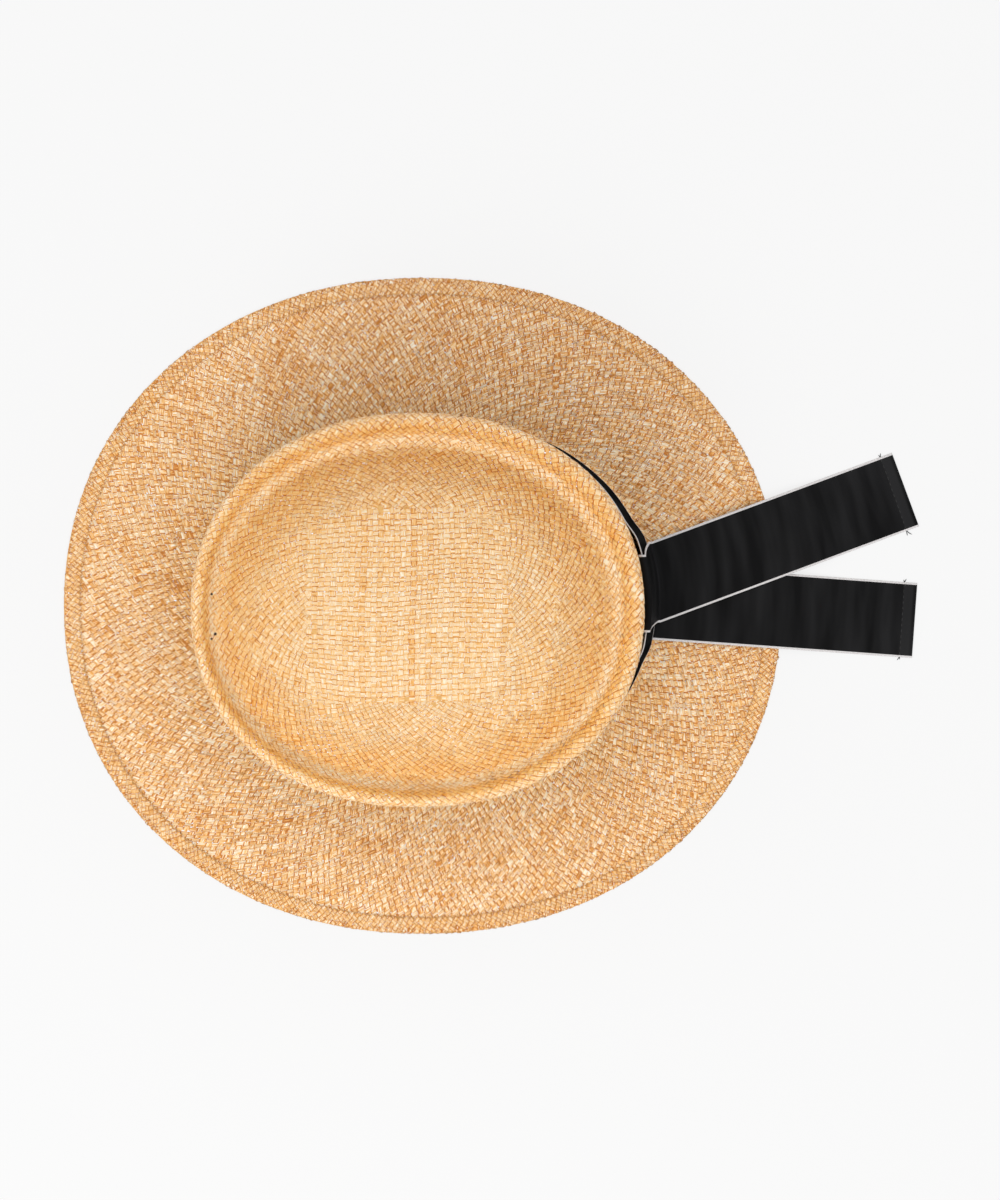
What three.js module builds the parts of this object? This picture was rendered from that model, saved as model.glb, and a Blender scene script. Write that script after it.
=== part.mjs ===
import * as THREE from 'three';

// A boater: one sheet of woven straw, with a ribbon round the crown and a streamer folded over the ribbon.
// Millimetres, +Z up. The hat lies brim down, its front towards -X and the streamer at its back, +X.
// Everything is worked out about one upright line near the middle of the brim, and the whole is moved
// at the end so that the origin is the middle of its footprint.

// Straw sheet
const STRAW_WALL = 1.4;
const FACETS_ROUND = 72;

// Brim: the outline of its edge, the hem folded back over the edge, and the slope up to the crown
const BRIM_EDGE = { halfX: 164.2, halfY: 150.1, midX: 0.5, midY: 0, power: 2.1 };
const HEM_WIDTH = 8;
const HEM_LEAN = 0.3;
const HEM_HEIGHT = 2 * STRAW_WALL;
const BRIM_TOP_AT_CROWN = 6;
const BRIM_STEPS = 3;

// Crown wall: the outside oval at each height, from the foot to the widest line of the rim
const CROWN_POWER = 2.15;
const FOOT_FILLET = 2.5;
const FOOT_Z = BRIM_TOP_AT_CROWN + FOOT_FILLET;
const CROWN_WALL = [
  { name: 'foot', z: FOOT_Z, halfX: 99.7, halfY: 82.2, midX: 4.6, midY: 1.6 },
  { name: 'middle of band', z: 25, halfX: 98.4, halfY: 82.6, midX: 2.8, midY: 1.0 },
  { name: 'top of band', z: 44, halfX: 97.75, halfY: 83.2, midX: 1.55, midY: 0.3 },
  { name: 'upper wall', z: 64, halfX: 97.9, halfY: 84.3, midX: 0.7, midY: -0.7 },
  { name: 'rim', z: 86, halfX: 98.6, halfY: 85.8, midX: 0.15, midY: -1.7 },
];

// Crown top: a round rim, the groove inside it, and a low dome. Slopes are in degrees
const RIM_RADIUS = 4;
const GROOVE_DEPTH = 8;
const GROOVE_RADIUS = 3.5;
const GROOVE_SLOPE = 60;
const GROOVE_SHIFT = { x: -1.5, y: -1.8 };
const DOME_SHOULDER_RISE = 2.2;
const DOME_SHOULDER_POWER = 6;
const DOME_RISE = 5;
const DOME_RINGS = [0.3, 0.55, 0.75, 0.9];

// Ribbon
const RIBBON_WIDTH = 34.5;
const RIBBON_WALL = 1;
const SEAT_GAP = 0.3;
const FOLD_GAP = 0.45;
const BAND_ROWS = 5;
const BAND_BOTTOM = FOOT_Z;
const BAND_TOP = BAND_BOTTOM + RIBBON_WIDTH;

// Streamer: where its fold crosses the band, and where each end leaves the foot of the crown
const FOLD_MID_Y = 5.5;
const BAND_LIFT_FULL = THREE.MathUtils.degToRad(13.5);
const BAND_LIFT_NONE = THREE.MathUtils.degToRad(20);
const BEND_RADIUS = 1.9;
const TAILS = {
  lower: { footMidY: 1.9, heading: -4.1, length: 119.5, lift: 0 },
  upper: { footMidY: 9.7, heading: 20.9, length: 120.2, lift: 1.4 },
};
const TAIL_ROWS = 17;
const TAIL_DROOP = 34;
const LIFT_ENDS = { from: 6, to: 40 };
const STREAMER_COLUMNS = 7;
const LEG_ROWS = 3;
const FOLD_ROWS = 7;
const BEND_ROWS = 4;

const STRAW_COLOUR = 0xdfb47c;
const RIBBON_COLOUR = 0x1b1b1d;

// Ovals

/** Distance from an oval's middle to its line, in the direction of a polar angle. */
function ovalReach(oval, angle) {
  const x = Math.abs(Math.cos(angle) / oval.halfX) ** oval.power;
  const y = Math.abs(Math.sin(angle) / oval.halfY) ** oval.power;
  return (x + y) ** (-1 / oval.power);
}

/** The oval as a ring of points, one for each facet, moved out by a distance that may vary with the angle. */
function ringPoints(oval, outBy = () => 0) {
  return Array.from({ length: FACETS_ROUND }, (_, facet) => {
    const angle = (2 * Math.PI * facet) / FACETS_ROUND;
    const reach = ovalReach(oval, angle) + outBy(angle);
    const x = oval.midX + reach * Math.cos(angle);
    const y = oval.midY + reach * Math.sin(angle);
    return new THREE.Vector3(x, y, oval.z);
  });
}

function mixOvals(a, b, share) {
  const mixed = {};
  for (const key of ['halfX', 'halfY', 'midX', 'midY', 'power', 'z']) {
    mixed[key] = THREE.MathUtils.lerp(a[key], b[key], share);
  }
  return mixed;
}

function inset(oval, distance, z = oval.z) {
  return { ...oval, halfX: oval.halfX - distance, halfY: oval.halfY - distance, z };
}

/** The outside oval of the crown wall at a height, straight between the rows of its table. */
function wallOval(z) {
  const rows = CROWN_WALL.map((row) => ({ ...row, power: CROWN_POWER }));
  const above = Math.max(1, rows.findIndex((row) => row.z >= z));
  const low = rows[above - 1];
  const high = rows[above];
  return mixOvals(low, high, (z - low.z) / (high.z - low.z));
}

/** X of the crown's outside at its back, at a place across the hat and a height. */
function wallBackX(y, z) {
  const oval = wallOval(z);
  const across = Math.abs((y - oval.midY) / oval.halfY) ** oval.power;
  return oval.midX + oval.halfX * (1 - across) ** (1 / oval.power);
}

function spread(from, to, count) {
  return Array.from({ length: count }, (_, i) => THREE.MathUtils.lerp(from, to, i / (count - 1)));
}

// Closed solids from rows of points

/** Triangles between neighbouring rows; every row is a closed loop of the same number of points. */
function bandIndices(rowCount, columnCount, rowsClose) {
  const indices = [];
  const strips = rowsClose ? rowCount : rowCount - 1;
  for (let row = 0; row < strips; row += 1) {
    const here = row * columnCount;
    const next = ((row + 1) % rowCount) * columnCount;
    for (let column = 0; column < columnCount; column += 1) {
      const beside = (column + 1) % columnCount;
      indices.push(here + column, next + column, next + beside);
      indices.push(here + column, next + beside, here + beside);
    }
  }
  return indices;
}

function solid(points, indices) {
  const geometry = new THREE.BufferGeometry().setFromPoints(points);
  geometry.setIndex(indices);
  geometry.computeVertexNormals();
  return geometry;
}

/** Rows that start and end at a point, as a bowl's do. */
function solidBetweenPoles(rows, firstPole, lastPole) {
  const columns = rows[0].length;
  const points = [...rows.flat(), firstPole, lastPole];
  const indices = bandIndices(rows.length, columns, false);
  const first = points.length - 2;
  const last = points.length - 1;
  const lastRow = (rows.length - 1) * columns;
  for (let column = 0; column < columns; column += 1) {
    const beside = (column + 1) % columns;
    indices.push(first, column, beside);
    indices.push(last, lastRow + beside, lastRow + column);
  }
  return solid(points, indices);
}

/** Rows that close on themselves, as a ring's do. */
function solidRing(rows) {
  return solid(rows.flat(), bandIndices(rows.length, rows[0].length, true));
}

/** A strip with thickness: the middle surface moved half the thickness each way along its normal. */
function solidStrip(grid, thickness) {
  const lastRow = grid.length - 1;
  const lastColumn = grid[0].length - 1;
  const sides = [1, -1].map((side) => grid.map((row, i) => row.map((point, j) => {
    const along = new THREE.Vector3();
    along.subVectors(grid[Math.min(i + 1, lastRow)][j], grid[Math.max(i - 1, 0)][j]);
    const across = new THREE.Vector3();
    across.subVectors(row[Math.min(j + 1, lastColumn)], row[Math.max(j - 1, 0)]);
    const normal = along.cross(across).normalize();
    return point.clone().addScaledVector(normal, (side * thickness) / 2);
  })));
  const rows = grid.map((_, i) => [...sides[0][i], ...sides[1][i].toReversed()]);
  const columns = rows[0].length;
  const indices = bandIndices(rows.length, columns, false);
  const end = lastRow * columns;
  for (let j = 0; j < lastColumn; j += 1) {
    const under = columns - 1 - j;
    indices.push(j, j + 1, under - 1);
    indices.push(j, under - 1, under);
    indices.push(end + j, end + under - 1, end + j + 1);
    indices.push(end + j, end + under, end + under - 1);
  }
  return solid(rows.flat(), indices);
}

// Straw body

/** The outside of the crown top, as ovals from the middle of the dome out to the widest line of the rim. */
function crownTopOvals() {
  const rim = wallOval(CROWN_WALL.at(-1).z);
  const crestZ = rim.z + RIM_RADIUS;
  const grooveZ = crestZ - GROOVE_DEPTH;
  const slope = THREE.MathUtils.degToRad(GROOVE_SLOPE);
  const fall = GROOVE_DEPTH - (RIM_RADIUS + GROOVE_RADIUS) * (1 - Math.cos(slope));
  const straight = fall / Math.tan(slope);
  const grooveInset = RIM_RADIUS + (RIM_RADIUS + GROOVE_RADIUS) * Math.sin(slope) + straight;

  const shifted = (distance, z) => {
    const share = THREE.MathUtils.clamp((distance - RIM_RADIUS) / (grooveInset - RIM_RADIUS), 0, 1);
    const oval = inset(rim, distance, z);
    oval.midX += GROOVE_SHIFT.x * share;
    oval.midY += GROOVE_SHIFT.y * share;
    return oval;
  };
  const rimAt = (angle) => {
    return shifted(RIM_RADIUS + RIM_RADIUS * Math.sin(angle), rim.z + RIM_RADIUS * Math.cos(angle));
  };
  const grooveAt = (angle) => {
    const z = grooveZ + GROOVE_RADIUS * (1 - Math.cos(angle));
    return shifted(grooveInset + GROOVE_RADIUS * Math.sin(angle), z);
  };

  const middle = (rim.halfX + rim.halfY) / 2 - grooveInset;
  const shoulderSlope = (DOME_SHOULDER_RISE * DOME_SHOULDER_POWER + 2 * DOME_RISE) / middle;
  const base = grooveAt(Math.atan(shoulderSlope));
  const domeAt = (share) => {
    const shoulder = DOME_SHOULDER_RISE * (1 - share ** DOME_SHOULDER_POWER);
    const z = base.z + shoulder + DOME_RISE * (1 - share ** 2);
    return { ...base, halfX: base.halfX * share, halfY: base.halfY * share, z };
  };

  const dome = DOME_RINGS.map(domeAt);
  const groove = [0, -slope / 2, -slope].map(grooveAt);
  const roll = spread(slope, -Math.PI / 2, 6).map(rimAt);
  return { pole: domeAt(0), ovals: [...dome, base, ...groove, ...roll] };
}

/** The fillet at the crown's foot, and the brim's upper side out to the hem. */
function brimTopOvals() {
  const foot = wallOval(FOOT_Z);
  const fillet = [Math.PI / 4, Math.PI / 2].map((angle) => {
    const out = FOOT_FILLET * (1 - Math.cos(angle));
    return inset(foot, -out, FOOT_Z - FOOT_FILLET * Math.sin(angle));
  });
  const hem = inset({ ...BRIM_EDGE, z: STRAW_WALL }, HEM_WIDTH + HEM_LEAN);
  const brim = spread(0, 1, BRIM_STEPS + 1).slice(1).map((share) => mixOvals(fillet[1], hem, share));
  return [...fillet, ...brim];
}

/** The folded edge: up the hem's inner edge, over its top, round the fold and back along its flat underside. */
function hemOvals() {
  const edge = { ...BRIM_EDGE, z: 0 };
  const radius = HEM_HEIGHT / 2;
  const fold = spread(Math.PI / 2, -Math.PI / 2, 5).map((angle) => {
    return inset(edge, radius * (1 - Math.cos(angle)), radius * (1 + Math.sin(angle)));
  });
  return [inset(edge, HEM_WIDTH, HEM_HEIGHT), ...fold];
}

/** The same sheet's inner side: each oval moved one wall along the section's normal. */
function innerOvals(ovals, pole) {
  const reach = (oval) => (oval.halfX + oval.halfY) / 2;
  return ovals.map((oval, i) => {
    if (i === ovals.length - 1) {
      return { ...oval, z: oval.z - STRAW_WALL };
    }
    const before = ovals[i - 1] ?? { ...oval, halfX: 0, halfY: 0, z: pole.z };
    const after = ovals[i + 1];
    const normal = new THREE.Vector2(before.z - after.z, reach(after) - reach(before)).normalize();
    return inset(oval, STRAW_WALL * normal.x, oval.z - STRAW_WALL * normal.y);
  });
}

function strawBody() {
  const top = crownTopOvals();
  const wall = CROWN_WALL.slice(0, -1).toReversed().map((row) => wallOval(row.z));
  const outside = [...top.ovals, ...wall, ...brimTopOvals()];
  const inside = innerOvals(outside, top.pole).toReversed();
  const rows = [...outside, ...hemOvals(), ...inside].map((oval) => ringPoints(oval));
  const outerPole = new THREE.Vector3(top.pole.midX, top.pole.midY, top.pole.z);
  const innerPole = outerPole.clone().setZ(outerPole.z - STRAW_WALL);
  return solidBetweenPoles(rows, outerPole, innerPole);
}

// Ribbon band

/** How far the band stands off its seat: only at the back, where the streamer passes behind it. */
function bandLift(angle) {
  const foldAngle = Math.atan2(FOLD_MID_Y, wallBackX(FOLD_MID_Y, BAND_TOP));
  const away = Math.abs(Math.atan2(Math.sin(angle - foldAngle), Math.cos(angle - foldAngle)));
  const share = 1 - THREE.MathUtils.smoothstep(away, BAND_LIFT_FULL, BAND_LIFT_NONE);
  return share * (RIBBON_WALL + 2 * FOLD_GAP - SEAT_GAP);
}

function ribbonBand() {
  const heights = spread(BAND_BOTTOM, BAND_TOP, BAND_ROWS);
  const side = (clear) => (z) => ringPoints(wallOval(z), (angle) => clear + bandLift(angle));
  const outside = heights.toReversed().map(side(SEAT_GAP + RIBBON_WALL));
  const inside = heights.map(side(SEAT_GAP));
  return solidRing([...outside, ...inside]);
}

// Ribbon streamer

/** Distance past the brim's edge, less than 0 on the brim. */
function pastEdge(x, y) {
  const outX = x - BRIM_EDGE.midX;
  const outY = y - BRIM_EDGE.midY;
  return Math.hypot(outX, outY) - ovalReach(BRIM_EDGE, Math.atan2(outY, outX));
}

/** One leg of the fold with the tail that runs on from it, as rows from the fold down and out to the end. */
function legAndTail(tail, standOff) {
  const half = RIBBON_WALL / 2;
  const footZ = BRIM_TOP_AT_CROWN + FOLD_GAP + half + tail.lift;
  const edgeZ = HEM_HEIGHT + SEAT_GAP + half + tail.lift;
  const legBottom = footZ + BEND_RADIUS;
  const across = spread(-RIBBON_WIDTH / 2, RIBBON_WIDTH / 2, STREAMER_COLUMNS);
  const heading = THREE.MathUtils.degToRad(tail.heading);
  const forward = new THREE.Vector2(Math.cos(heading), Math.sin(heading));

  const leg = spread(BAND_TOP + SEAT_GAP, legBottom, LEG_ROWS).map((z) => across.map((w) => {
    const share = (BAND_TOP + SEAT_GAP - z) / (BAND_TOP + SEAT_GAP - legBottom);
    const y = THREE.MathUtils.lerp(FOLD_MID_Y, tail.footMidY, share) + w;
    return new THREE.Vector3(wallBackX(y, z) + standOff, y, z);
  }));
  const bend = spread(0, Math.PI / 2, BEND_ROWS).slice(1).map((angle) => across.map((w) => {
    const y = tail.footMidY + w;
    const x = wallBackX(y, FOOT_Z) + standOff + BEND_RADIUS * (1 - Math.cos(angle));
    return new THREE.Vector3(x, y, legBottom - BEND_RADIUS * Math.sin(angle));
  }));

  const starts = bend.at(-1);
  const middle = starts[(STREAMER_COLUMNS - 1) / 2];
  const rows = spread(0, 1, TAIL_ROWS + 1).slice(1).map((share) => starts.map((start) => {
    const ahead = (start.x - middle.x) * forward.x + (start.y - middle.y) * forward.y;
    const run = share * (tail.length - ahead);
    const x = start.x + run * forward.x;
    const y = start.y + run * forward.y;
    const past = pastEdge(x, y);
    const onBrim = THREE.MathUtils.clamp(1 - past / pastEdge(start.x, start.y), 0, 1);
    const settled = half + tail.lift * (1 - THREE.MathUtils.smoothstep(past, LIFT_ENDS.from, LIFT_ENDS.to));
    const droop = THREE.MathUtils.smoothstep(past, 0, TAIL_DROOP);
    const z = THREE.MathUtils.lerp(THREE.MathUtils.lerp(footZ, edgeZ, onBrim), settled, droop);
    return new THREE.Vector3(x, y, z);
  }));
  return [...leg, ...bend, ...rows];
}

/** The ribbon as one strip: lower tail, up behind the band, over it, down its front, upper tail. */
function ribbonStreamer() {
  const behind = FOLD_GAP + RIBBON_WALL / 2;
  const inFront = behind + 2 * (RIBBON_WALL + FOLD_GAP);
  const lower = legAndTail(TAILS.lower, behind).toReversed();
  const upper = legAndTail(TAILS.upper, inFront);
  const radius = (inFront - behind) / 2;
  const fold = spread(Math.PI, 0, FOLD_ROWS).slice(1, -1).map((angle) => lower.at(-1).map((low, j) => {
    const x = (low.x + upper[0][j].x) / 2 + radius * Math.cos(angle);
    return new THREE.Vector3(x, low.y, low.z + radius * Math.sin(angle));
  }));
  return solidStrip([...lower, ...fold, ...upper], RIBBON_WALL);
}

// Assembly

function piece(name, geometry, color, roughness) {
  const mesh = new THREE.Mesh(geometry, new THREE.MeshStandardMaterial({ color, roughness, metalness: 0 }));
  mesh.name = name;
  return mesh;
}

const boater = new THREE.Group();
boater.add(piece('straw_body', strawBody(), STRAW_COLOUR, 0.7));
boater.add(piece('ribbon_band', ribbonBand(), RIBBON_COLOUR, 0.45));
boater.add(piece('ribbon_streamer', ribbonStreamer(), RIBBON_COLOUR, 0.45));

const footprint = new THREE.Box3().setFromObject(boater);
const footprintMiddle = footprint.getCenter(new THREE.Vector3());
boater.position.set(-footprintMiddle.x, -footprintMiddle.y, -footprint.min.z);

export default boater;
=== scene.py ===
"""A boater seen from above: woven straw strands on a formed sheet, a ribbon round the crown and a streamer.

Every shape is a numpy surface worked out in millimetres about the hat's own upright line, and goes into
its mesh in metres in the row frame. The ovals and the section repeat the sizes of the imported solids.
"""
import math

import bpy
import numpy as np
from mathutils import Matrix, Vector


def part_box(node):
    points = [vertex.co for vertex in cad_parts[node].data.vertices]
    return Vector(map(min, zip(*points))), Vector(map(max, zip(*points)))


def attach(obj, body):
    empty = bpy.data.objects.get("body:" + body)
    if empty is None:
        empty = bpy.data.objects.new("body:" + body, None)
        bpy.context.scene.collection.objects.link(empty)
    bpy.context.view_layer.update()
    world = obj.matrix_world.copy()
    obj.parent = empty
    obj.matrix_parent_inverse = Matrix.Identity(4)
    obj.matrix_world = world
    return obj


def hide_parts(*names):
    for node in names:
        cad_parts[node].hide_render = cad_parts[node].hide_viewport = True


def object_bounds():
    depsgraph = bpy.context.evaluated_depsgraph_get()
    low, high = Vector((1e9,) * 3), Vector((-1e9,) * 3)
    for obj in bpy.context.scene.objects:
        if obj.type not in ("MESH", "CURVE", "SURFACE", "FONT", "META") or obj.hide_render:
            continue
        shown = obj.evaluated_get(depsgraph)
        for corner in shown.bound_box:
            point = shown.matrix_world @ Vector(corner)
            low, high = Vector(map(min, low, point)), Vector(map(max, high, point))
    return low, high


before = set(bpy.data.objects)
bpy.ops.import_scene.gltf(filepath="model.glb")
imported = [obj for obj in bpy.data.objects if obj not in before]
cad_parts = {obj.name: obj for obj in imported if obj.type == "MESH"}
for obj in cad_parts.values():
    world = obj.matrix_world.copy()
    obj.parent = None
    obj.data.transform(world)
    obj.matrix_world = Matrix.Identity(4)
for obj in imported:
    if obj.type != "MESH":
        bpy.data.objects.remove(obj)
CAD_BOX = [list(corner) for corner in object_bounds()]

MM = 0.001
RNG = np.random.default_rng(20)

# Straw sheet: columns of an oval, and of a section's row the parts of its normal as well
HALF_X, HALF_Y, MID_X, MID_Y, POWER, HEIGHT, NORMAL_OUT, NORMAL_UP = range(8)
STRAW_WALL = 1.4
BRIM_EDGE = np.array([164.2, 150.1, 0.5, 0.0, 2.1, 0.0])
HEM_WIDTH = 8.0
HEM_LEAN = 0.3
HEM_PUFF = 0.2
LAYER_GAP = 0.8
HEM_SETTLE = 0.35
EDGE_SHEET_Z = 0.45
BRIM_TOP_AT_CROWN = 6.0
FOOT_FILLET = 2.5
FOOT_Z = BRIM_TOP_AT_CROWN + FOOT_FILLET
CROWN_POWER = 2.15
CROWN_WALL = np.array([
    # half_x, half_y, mid_x, mid_y, power, z
    [99.70, 82.2, 4.60, 1.6, CROWN_POWER, FOOT_Z],
    [98.40, 82.6, 2.80, 1.0, CROWN_POWER, 25.0],
    [97.75, 83.2, 1.55, 0.3, CROWN_POWER, 44.0],
    [97.90, 84.3, 0.70, -0.7, CROWN_POWER, 64.0],
    [98.60, 85.8, 0.15, -1.7, CROWN_POWER, 86.0],
])
CROWN_WALL_DEGREE = 3
RIM_Z = CROWN_WALL[-1, HEIGHT]

# Crown top: the round rim, the groove inside it and the low dome
RIM_RADIUS = 4.0
GROOVE_DEPTH = 8.0
GROOVE_RADIUS = 3.5
GROOVE_SLOPE = math.radians(60)
GROOVE_SHIFT = (-1.5, -1.8)
DOME_SHOULDER_RISE = 2.2
DOME_SHOULDER_POWER = 6
DOME_RISE = 5.0

# Rows of each stretch of the section
DOME_ROWS = 60
DOME_FIRST_SHARE = 0.004
DOME_SHARES = np.linspace(DOME_FIRST_SHARE, 1, DOME_ROWS)
GROOVE_ROWS = 18
RIM_ROWS = 26
WALL_ROWS = 52
FILLET_ROWS = 8
BRIM_ROWS = 36
UNDER_HEM_ROWS = 6
HEM_FOLD_ROWS = 12
HEM_ROWS = 9

HAT_LINE_X = (CAD_BOX[0][0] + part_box("straw_body")[1].x) / 2 / MM - BRIM_EDGE[MID_X]


# Arrays

def stacked(*columns):
    """Points or pairs from their columns, each brought to the same shape."""
    return np.stack(np.broadcast_arrays(*columns), axis=-1)


def summed(steps):
    """Running sum of steps, from 0."""
    return np.concatenate([[0], np.cumsum(steps)])


def unit(vectors):
    """The same directions with length 1."""
    return vectors / np.linalg.norm(vectors, axis=-1, keepdims=True)


# Meshes from arrays

def grid_faces(strips, rows, columns):
    """Quads of separate strips: strip, row and column number the points in that order."""
    strip, row, column = np.ogrid[:strips, :rows - 1, :columns - 1]
    first = (strip * rows + row) * columns + column
    quads = np.stack([first, first + columns, first + columns + 1, first + 1], axis=-1)
    return quads.reshape(-1, 4)


def wrapped_faces(rows, columns):
    """Quads of one sheet whose columns go all the way round."""
    row, column = np.ogrid[:rows - 1, :columns]
    here = row * columns
    below = here + columns
    beside = (column + 1) % columns
    quads = np.stack([here + column, below + column, below + beside, here + beside], axis=-1)
    return quads.reshape(-1, 4)


def piece_from_arrays(name, points, faces, uv=None, floats=None):
    """An object at the origin from points in millimetres about the hat line; unused points are left out."""
    used, compact = np.unique(faces, return_inverse=True)
    faces = compact.reshape(faces.shape)
    points = (points[used] + [HAT_LINE_X, 0, 0]) * MM
    mesh = bpy.data.meshes.new(name)
    mesh.vertices.add(len(points))
    mesh.vertices.foreach_set("co", points.astype(np.float32).ravel())
    mesh.loops.add(faces.size)
    mesh.loops.foreach_set("vertex_index", faces.astype(np.int32).ravel())
    mesh.polygons.add(len(faces))
    mesh.polygons.foreach_set("loop_start", np.arange(0, faces.size, faces.shape[1], dtype=np.int32))
    mesh.polygons.foreach_set("use_smooth", np.ones(len(faces), dtype=bool))
    if uv is not None:
        layer = mesh.uv_layers.new(name="weave")
        layer.data.foreach_set("uv", uv[used][faces.ravel()].astype(np.float32).ravel())
    for key, values in (floats or {}).items():
        stored = mesh.attributes.new(key, "FLOAT", "POINT")
        stored.data.foreach_set("value", values[used].astype(np.float32).ravel())
    mesh.update(calc_edges=True)
    mesh.validate()
    piece = bpy.data.objects.new(name, mesh)
    bpy.context.scene.collection.objects.link(piece)
    return piece


# The sheet's section, as rows of ovals from the middle of the dome out to the end of the hem

def oval_reach(angle, oval):
    """Distance from an oval's middle to its line: (|cos/half_x|^p + |sin/half_y|^p)^(-1/p)."""
    across = np.abs(np.cos(angle) / oval[..., HALF_X]) ** oval[..., POWER]
    along = np.abs(np.sin(angle) / oval[..., HALF_Y]) ** oval[..., POWER]
    return (across + along) ** (-1 / oval[..., POWER])


def inset(oval, distance, z):
    """Copies of an oval moved in by each distance, at each height."""
    distance, z = np.broadcast_arrays(distance, z)
    rows = np.repeat(oval[None, :], len(distance), axis=0)
    rows[:, HALF_X] -= distance
    rows[:, HALF_Y] -= distance
    rows[:, HEIGHT] = z
    return rows


def wall_ovals(z):
    """Outside ovals of the crown wall at each height: a cubic in z fitted to the table, column by column."""
    z = np.atleast_1d(np.asarray(z, float))
    fits = np.polyfit(CROWN_WALL[:, HEIGHT], CROWN_WALL[:, :HEIGHT], CROWN_WALL_DEGREE)
    powers = range(CROWN_WALL_DEGREE, -1, -1)
    columns = sum(fit[None, :] * z[:, None] ** power for fit, power in zip(fits, powers))
    return np.column_stack([columns, z])


def crown_top_rows():
    """Dome z = base + rise (1 - share^6) + rise (1 - share^2), then the groove's arc and the rim's arc."""
    rim = wall_ovals(RIM_Z)[0]
    fall = GROOVE_DEPTH - (RIM_RADIUS + GROOVE_RADIUS) * (1 - math.cos(GROOVE_SLOPE))
    groove_inset = (RIM_RADIUS + (RIM_RADIUS + GROOVE_RADIUS) * math.sin(GROOVE_SLOPE)
                    + fall / math.tan(GROOVE_SLOPE))
    groove_z = RIM_Z + RIM_RADIUS - GROOVE_DEPTH
    middle = (rim[HALF_X] + rim[HALF_Y]) / 2 - groove_inset
    shoulder = math.atan((DOME_SHOULDER_RISE * DOME_SHOULDER_POWER + 2 * DOME_RISE) / middle)

    def shifted(distance, z):
        """Rim ovals moved in by each distance and, from the rim's top in to the groove, over by its shift."""
        rows = inset(rim, distance, z)
        share = np.clip((distance - RIM_RADIUS) / (groove_inset - RIM_RADIUS), 0, 1)
        rows[:, MID_X] += GROOVE_SHIFT[0] * share
        rows[:, MID_Y] += GROOVE_SHIFT[1] * share
        return rows

    turn = np.linspace(shoulder, -GROOVE_SLOPE, GROOVE_ROWS)
    groove_rise = GROOVE_RADIUS * (1 - np.cos(turn))
    groove = shifted(groove_inset + GROOVE_RADIUS * np.sin(turn), groove_z + groove_rise)
    turn = np.linspace(GROOVE_SLOPE, -math.pi / 2, RIM_ROWS)
    rim_arc = shifted(RIM_RADIUS * (1 + np.sin(turn)), RIM_Z + RIM_RADIUS * np.cos(turn))
    share = DOME_SHARES[:-1]
    rise = DOME_SHOULDER_RISE * (1 - share ** DOME_SHOULDER_POWER) + DOME_RISE * (1 - share ** 2)
    dome = np.repeat(groove[:1], len(share), axis=0)
    dome[:, HALF_X] *= share
    dome[:, HALF_Y] *= share
    dome[:, HEIGHT] += rise
    return dome, groove, rim_arc


def sheet_section():
    """Middle surface of the straw sheet with its normal (out, up), and where each stretch of it ends.

    The outside rows are moved in by half a wall along the section's normal; the hem is the same sheet
    turned up and back round a half circle at the brim's edge.
    """
    dome, groove, rim_arc = crown_top_rows()
    wall = wall_ovals(np.linspace(RIM_Z, FOOT_Z, WALL_ROWS)[1:])
    foot = wall[-1]
    turn = np.linspace(0, math.pi / 2, FILLET_ROWS)[1:]
    fillet = inset(foot, FOOT_FILLET * (np.cos(turn) - 1), FOOT_Z - FOOT_FILLET * np.sin(turn))
    hem_line = inset(BRIM_EDGE, HEM_WIDTH + HEM_LEAN, STRAW_WALL * np.ones(1))
    share = np.linspace(0, 1, BRIM_ROWS)[1:, None]
    brim = fillet[-1] * (1 - share) + hem_line * share
    outside = np.vstack([dome, groove, rim_arc, wall, fillet, brim])

    reach = outside[:, [HALF_X, HALF_Y]].mean(axis=1)
    tangent = unit(stacked(np.gradient(reach), np.gradient(outside[:, HEIGHT])))
    normal = stacked(-tangent[:, 1], tangent[:, 0])
    depth = np.full(len(outside), STRAW_WALL / 2)
    depth[-len(brim):] += (STRAW_WALL / 2 - EDGE_SHEET_Z) * share[:, 0] ** 2
    middle = outside.copy()
    middle[:, [HALF_X, HALF_Y]] -= depth[:, None] * normal[:, :1]
    middle[:, HEIGHT] -= depth * normal[:, 1]

    radius = LAYER_GAP / 2
    under_hem = inset(BRIM_EDGE, np.linspace(HEM_WIDTH, radius + HEM_LEAN, UNDER_HEM_ROWS), EDGE_SHEET_Z)
    turn = np.linspace(0, math.pi, HEM_FOLD_ROWS)[1:]
    fold_z = EDGE_SHEET_Z + radius * (1 - np.cos(turn))
    fold = inset(BRIM_EDGE, HEM_LEAN + radius * (1 - np.sin(turn)), fold_z)
    back = np.linspace(0, 1, HEM_ROWS)[1:]
    hem_z = EDGE_SHEET_Z + LAYER_GAP + HEM_PUFF * np.sin(math.pi * back) - HEM_SETTLE * back ** 2
    hem = inset(BRIM_EDGE, HEM_LEAN + radius + back * (HEM_WIDTH - radius), hem_z)
    normal = np.vstack([
        normal,
        np.tile([0.0, 1.0], (len(under_hem), 1)),
        stacked(-np.sin(turn), np.cos(turn)),
        np.tile([0.0, -1.0], (len(back), 1)),
    ])

    rows = np.vstack([middle, under_hem, fold, hem])
    reach = rows[:, [HALF_X, HALF_Y]].mean(axis=1)
    run = summed(np.hypot(np.diff(reach), np.diff(rows[:, HEIGHT])))
    stretches = (dome, groove, rim_arc, np.vstack([wall, fillet]), brim, under_hem, fold, hem)
    ends = np.cumsum([len(stretch) for stretch in stretches])
    return np.column_stack([rows, normal]), run, reach, run[ends - 1]


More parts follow.
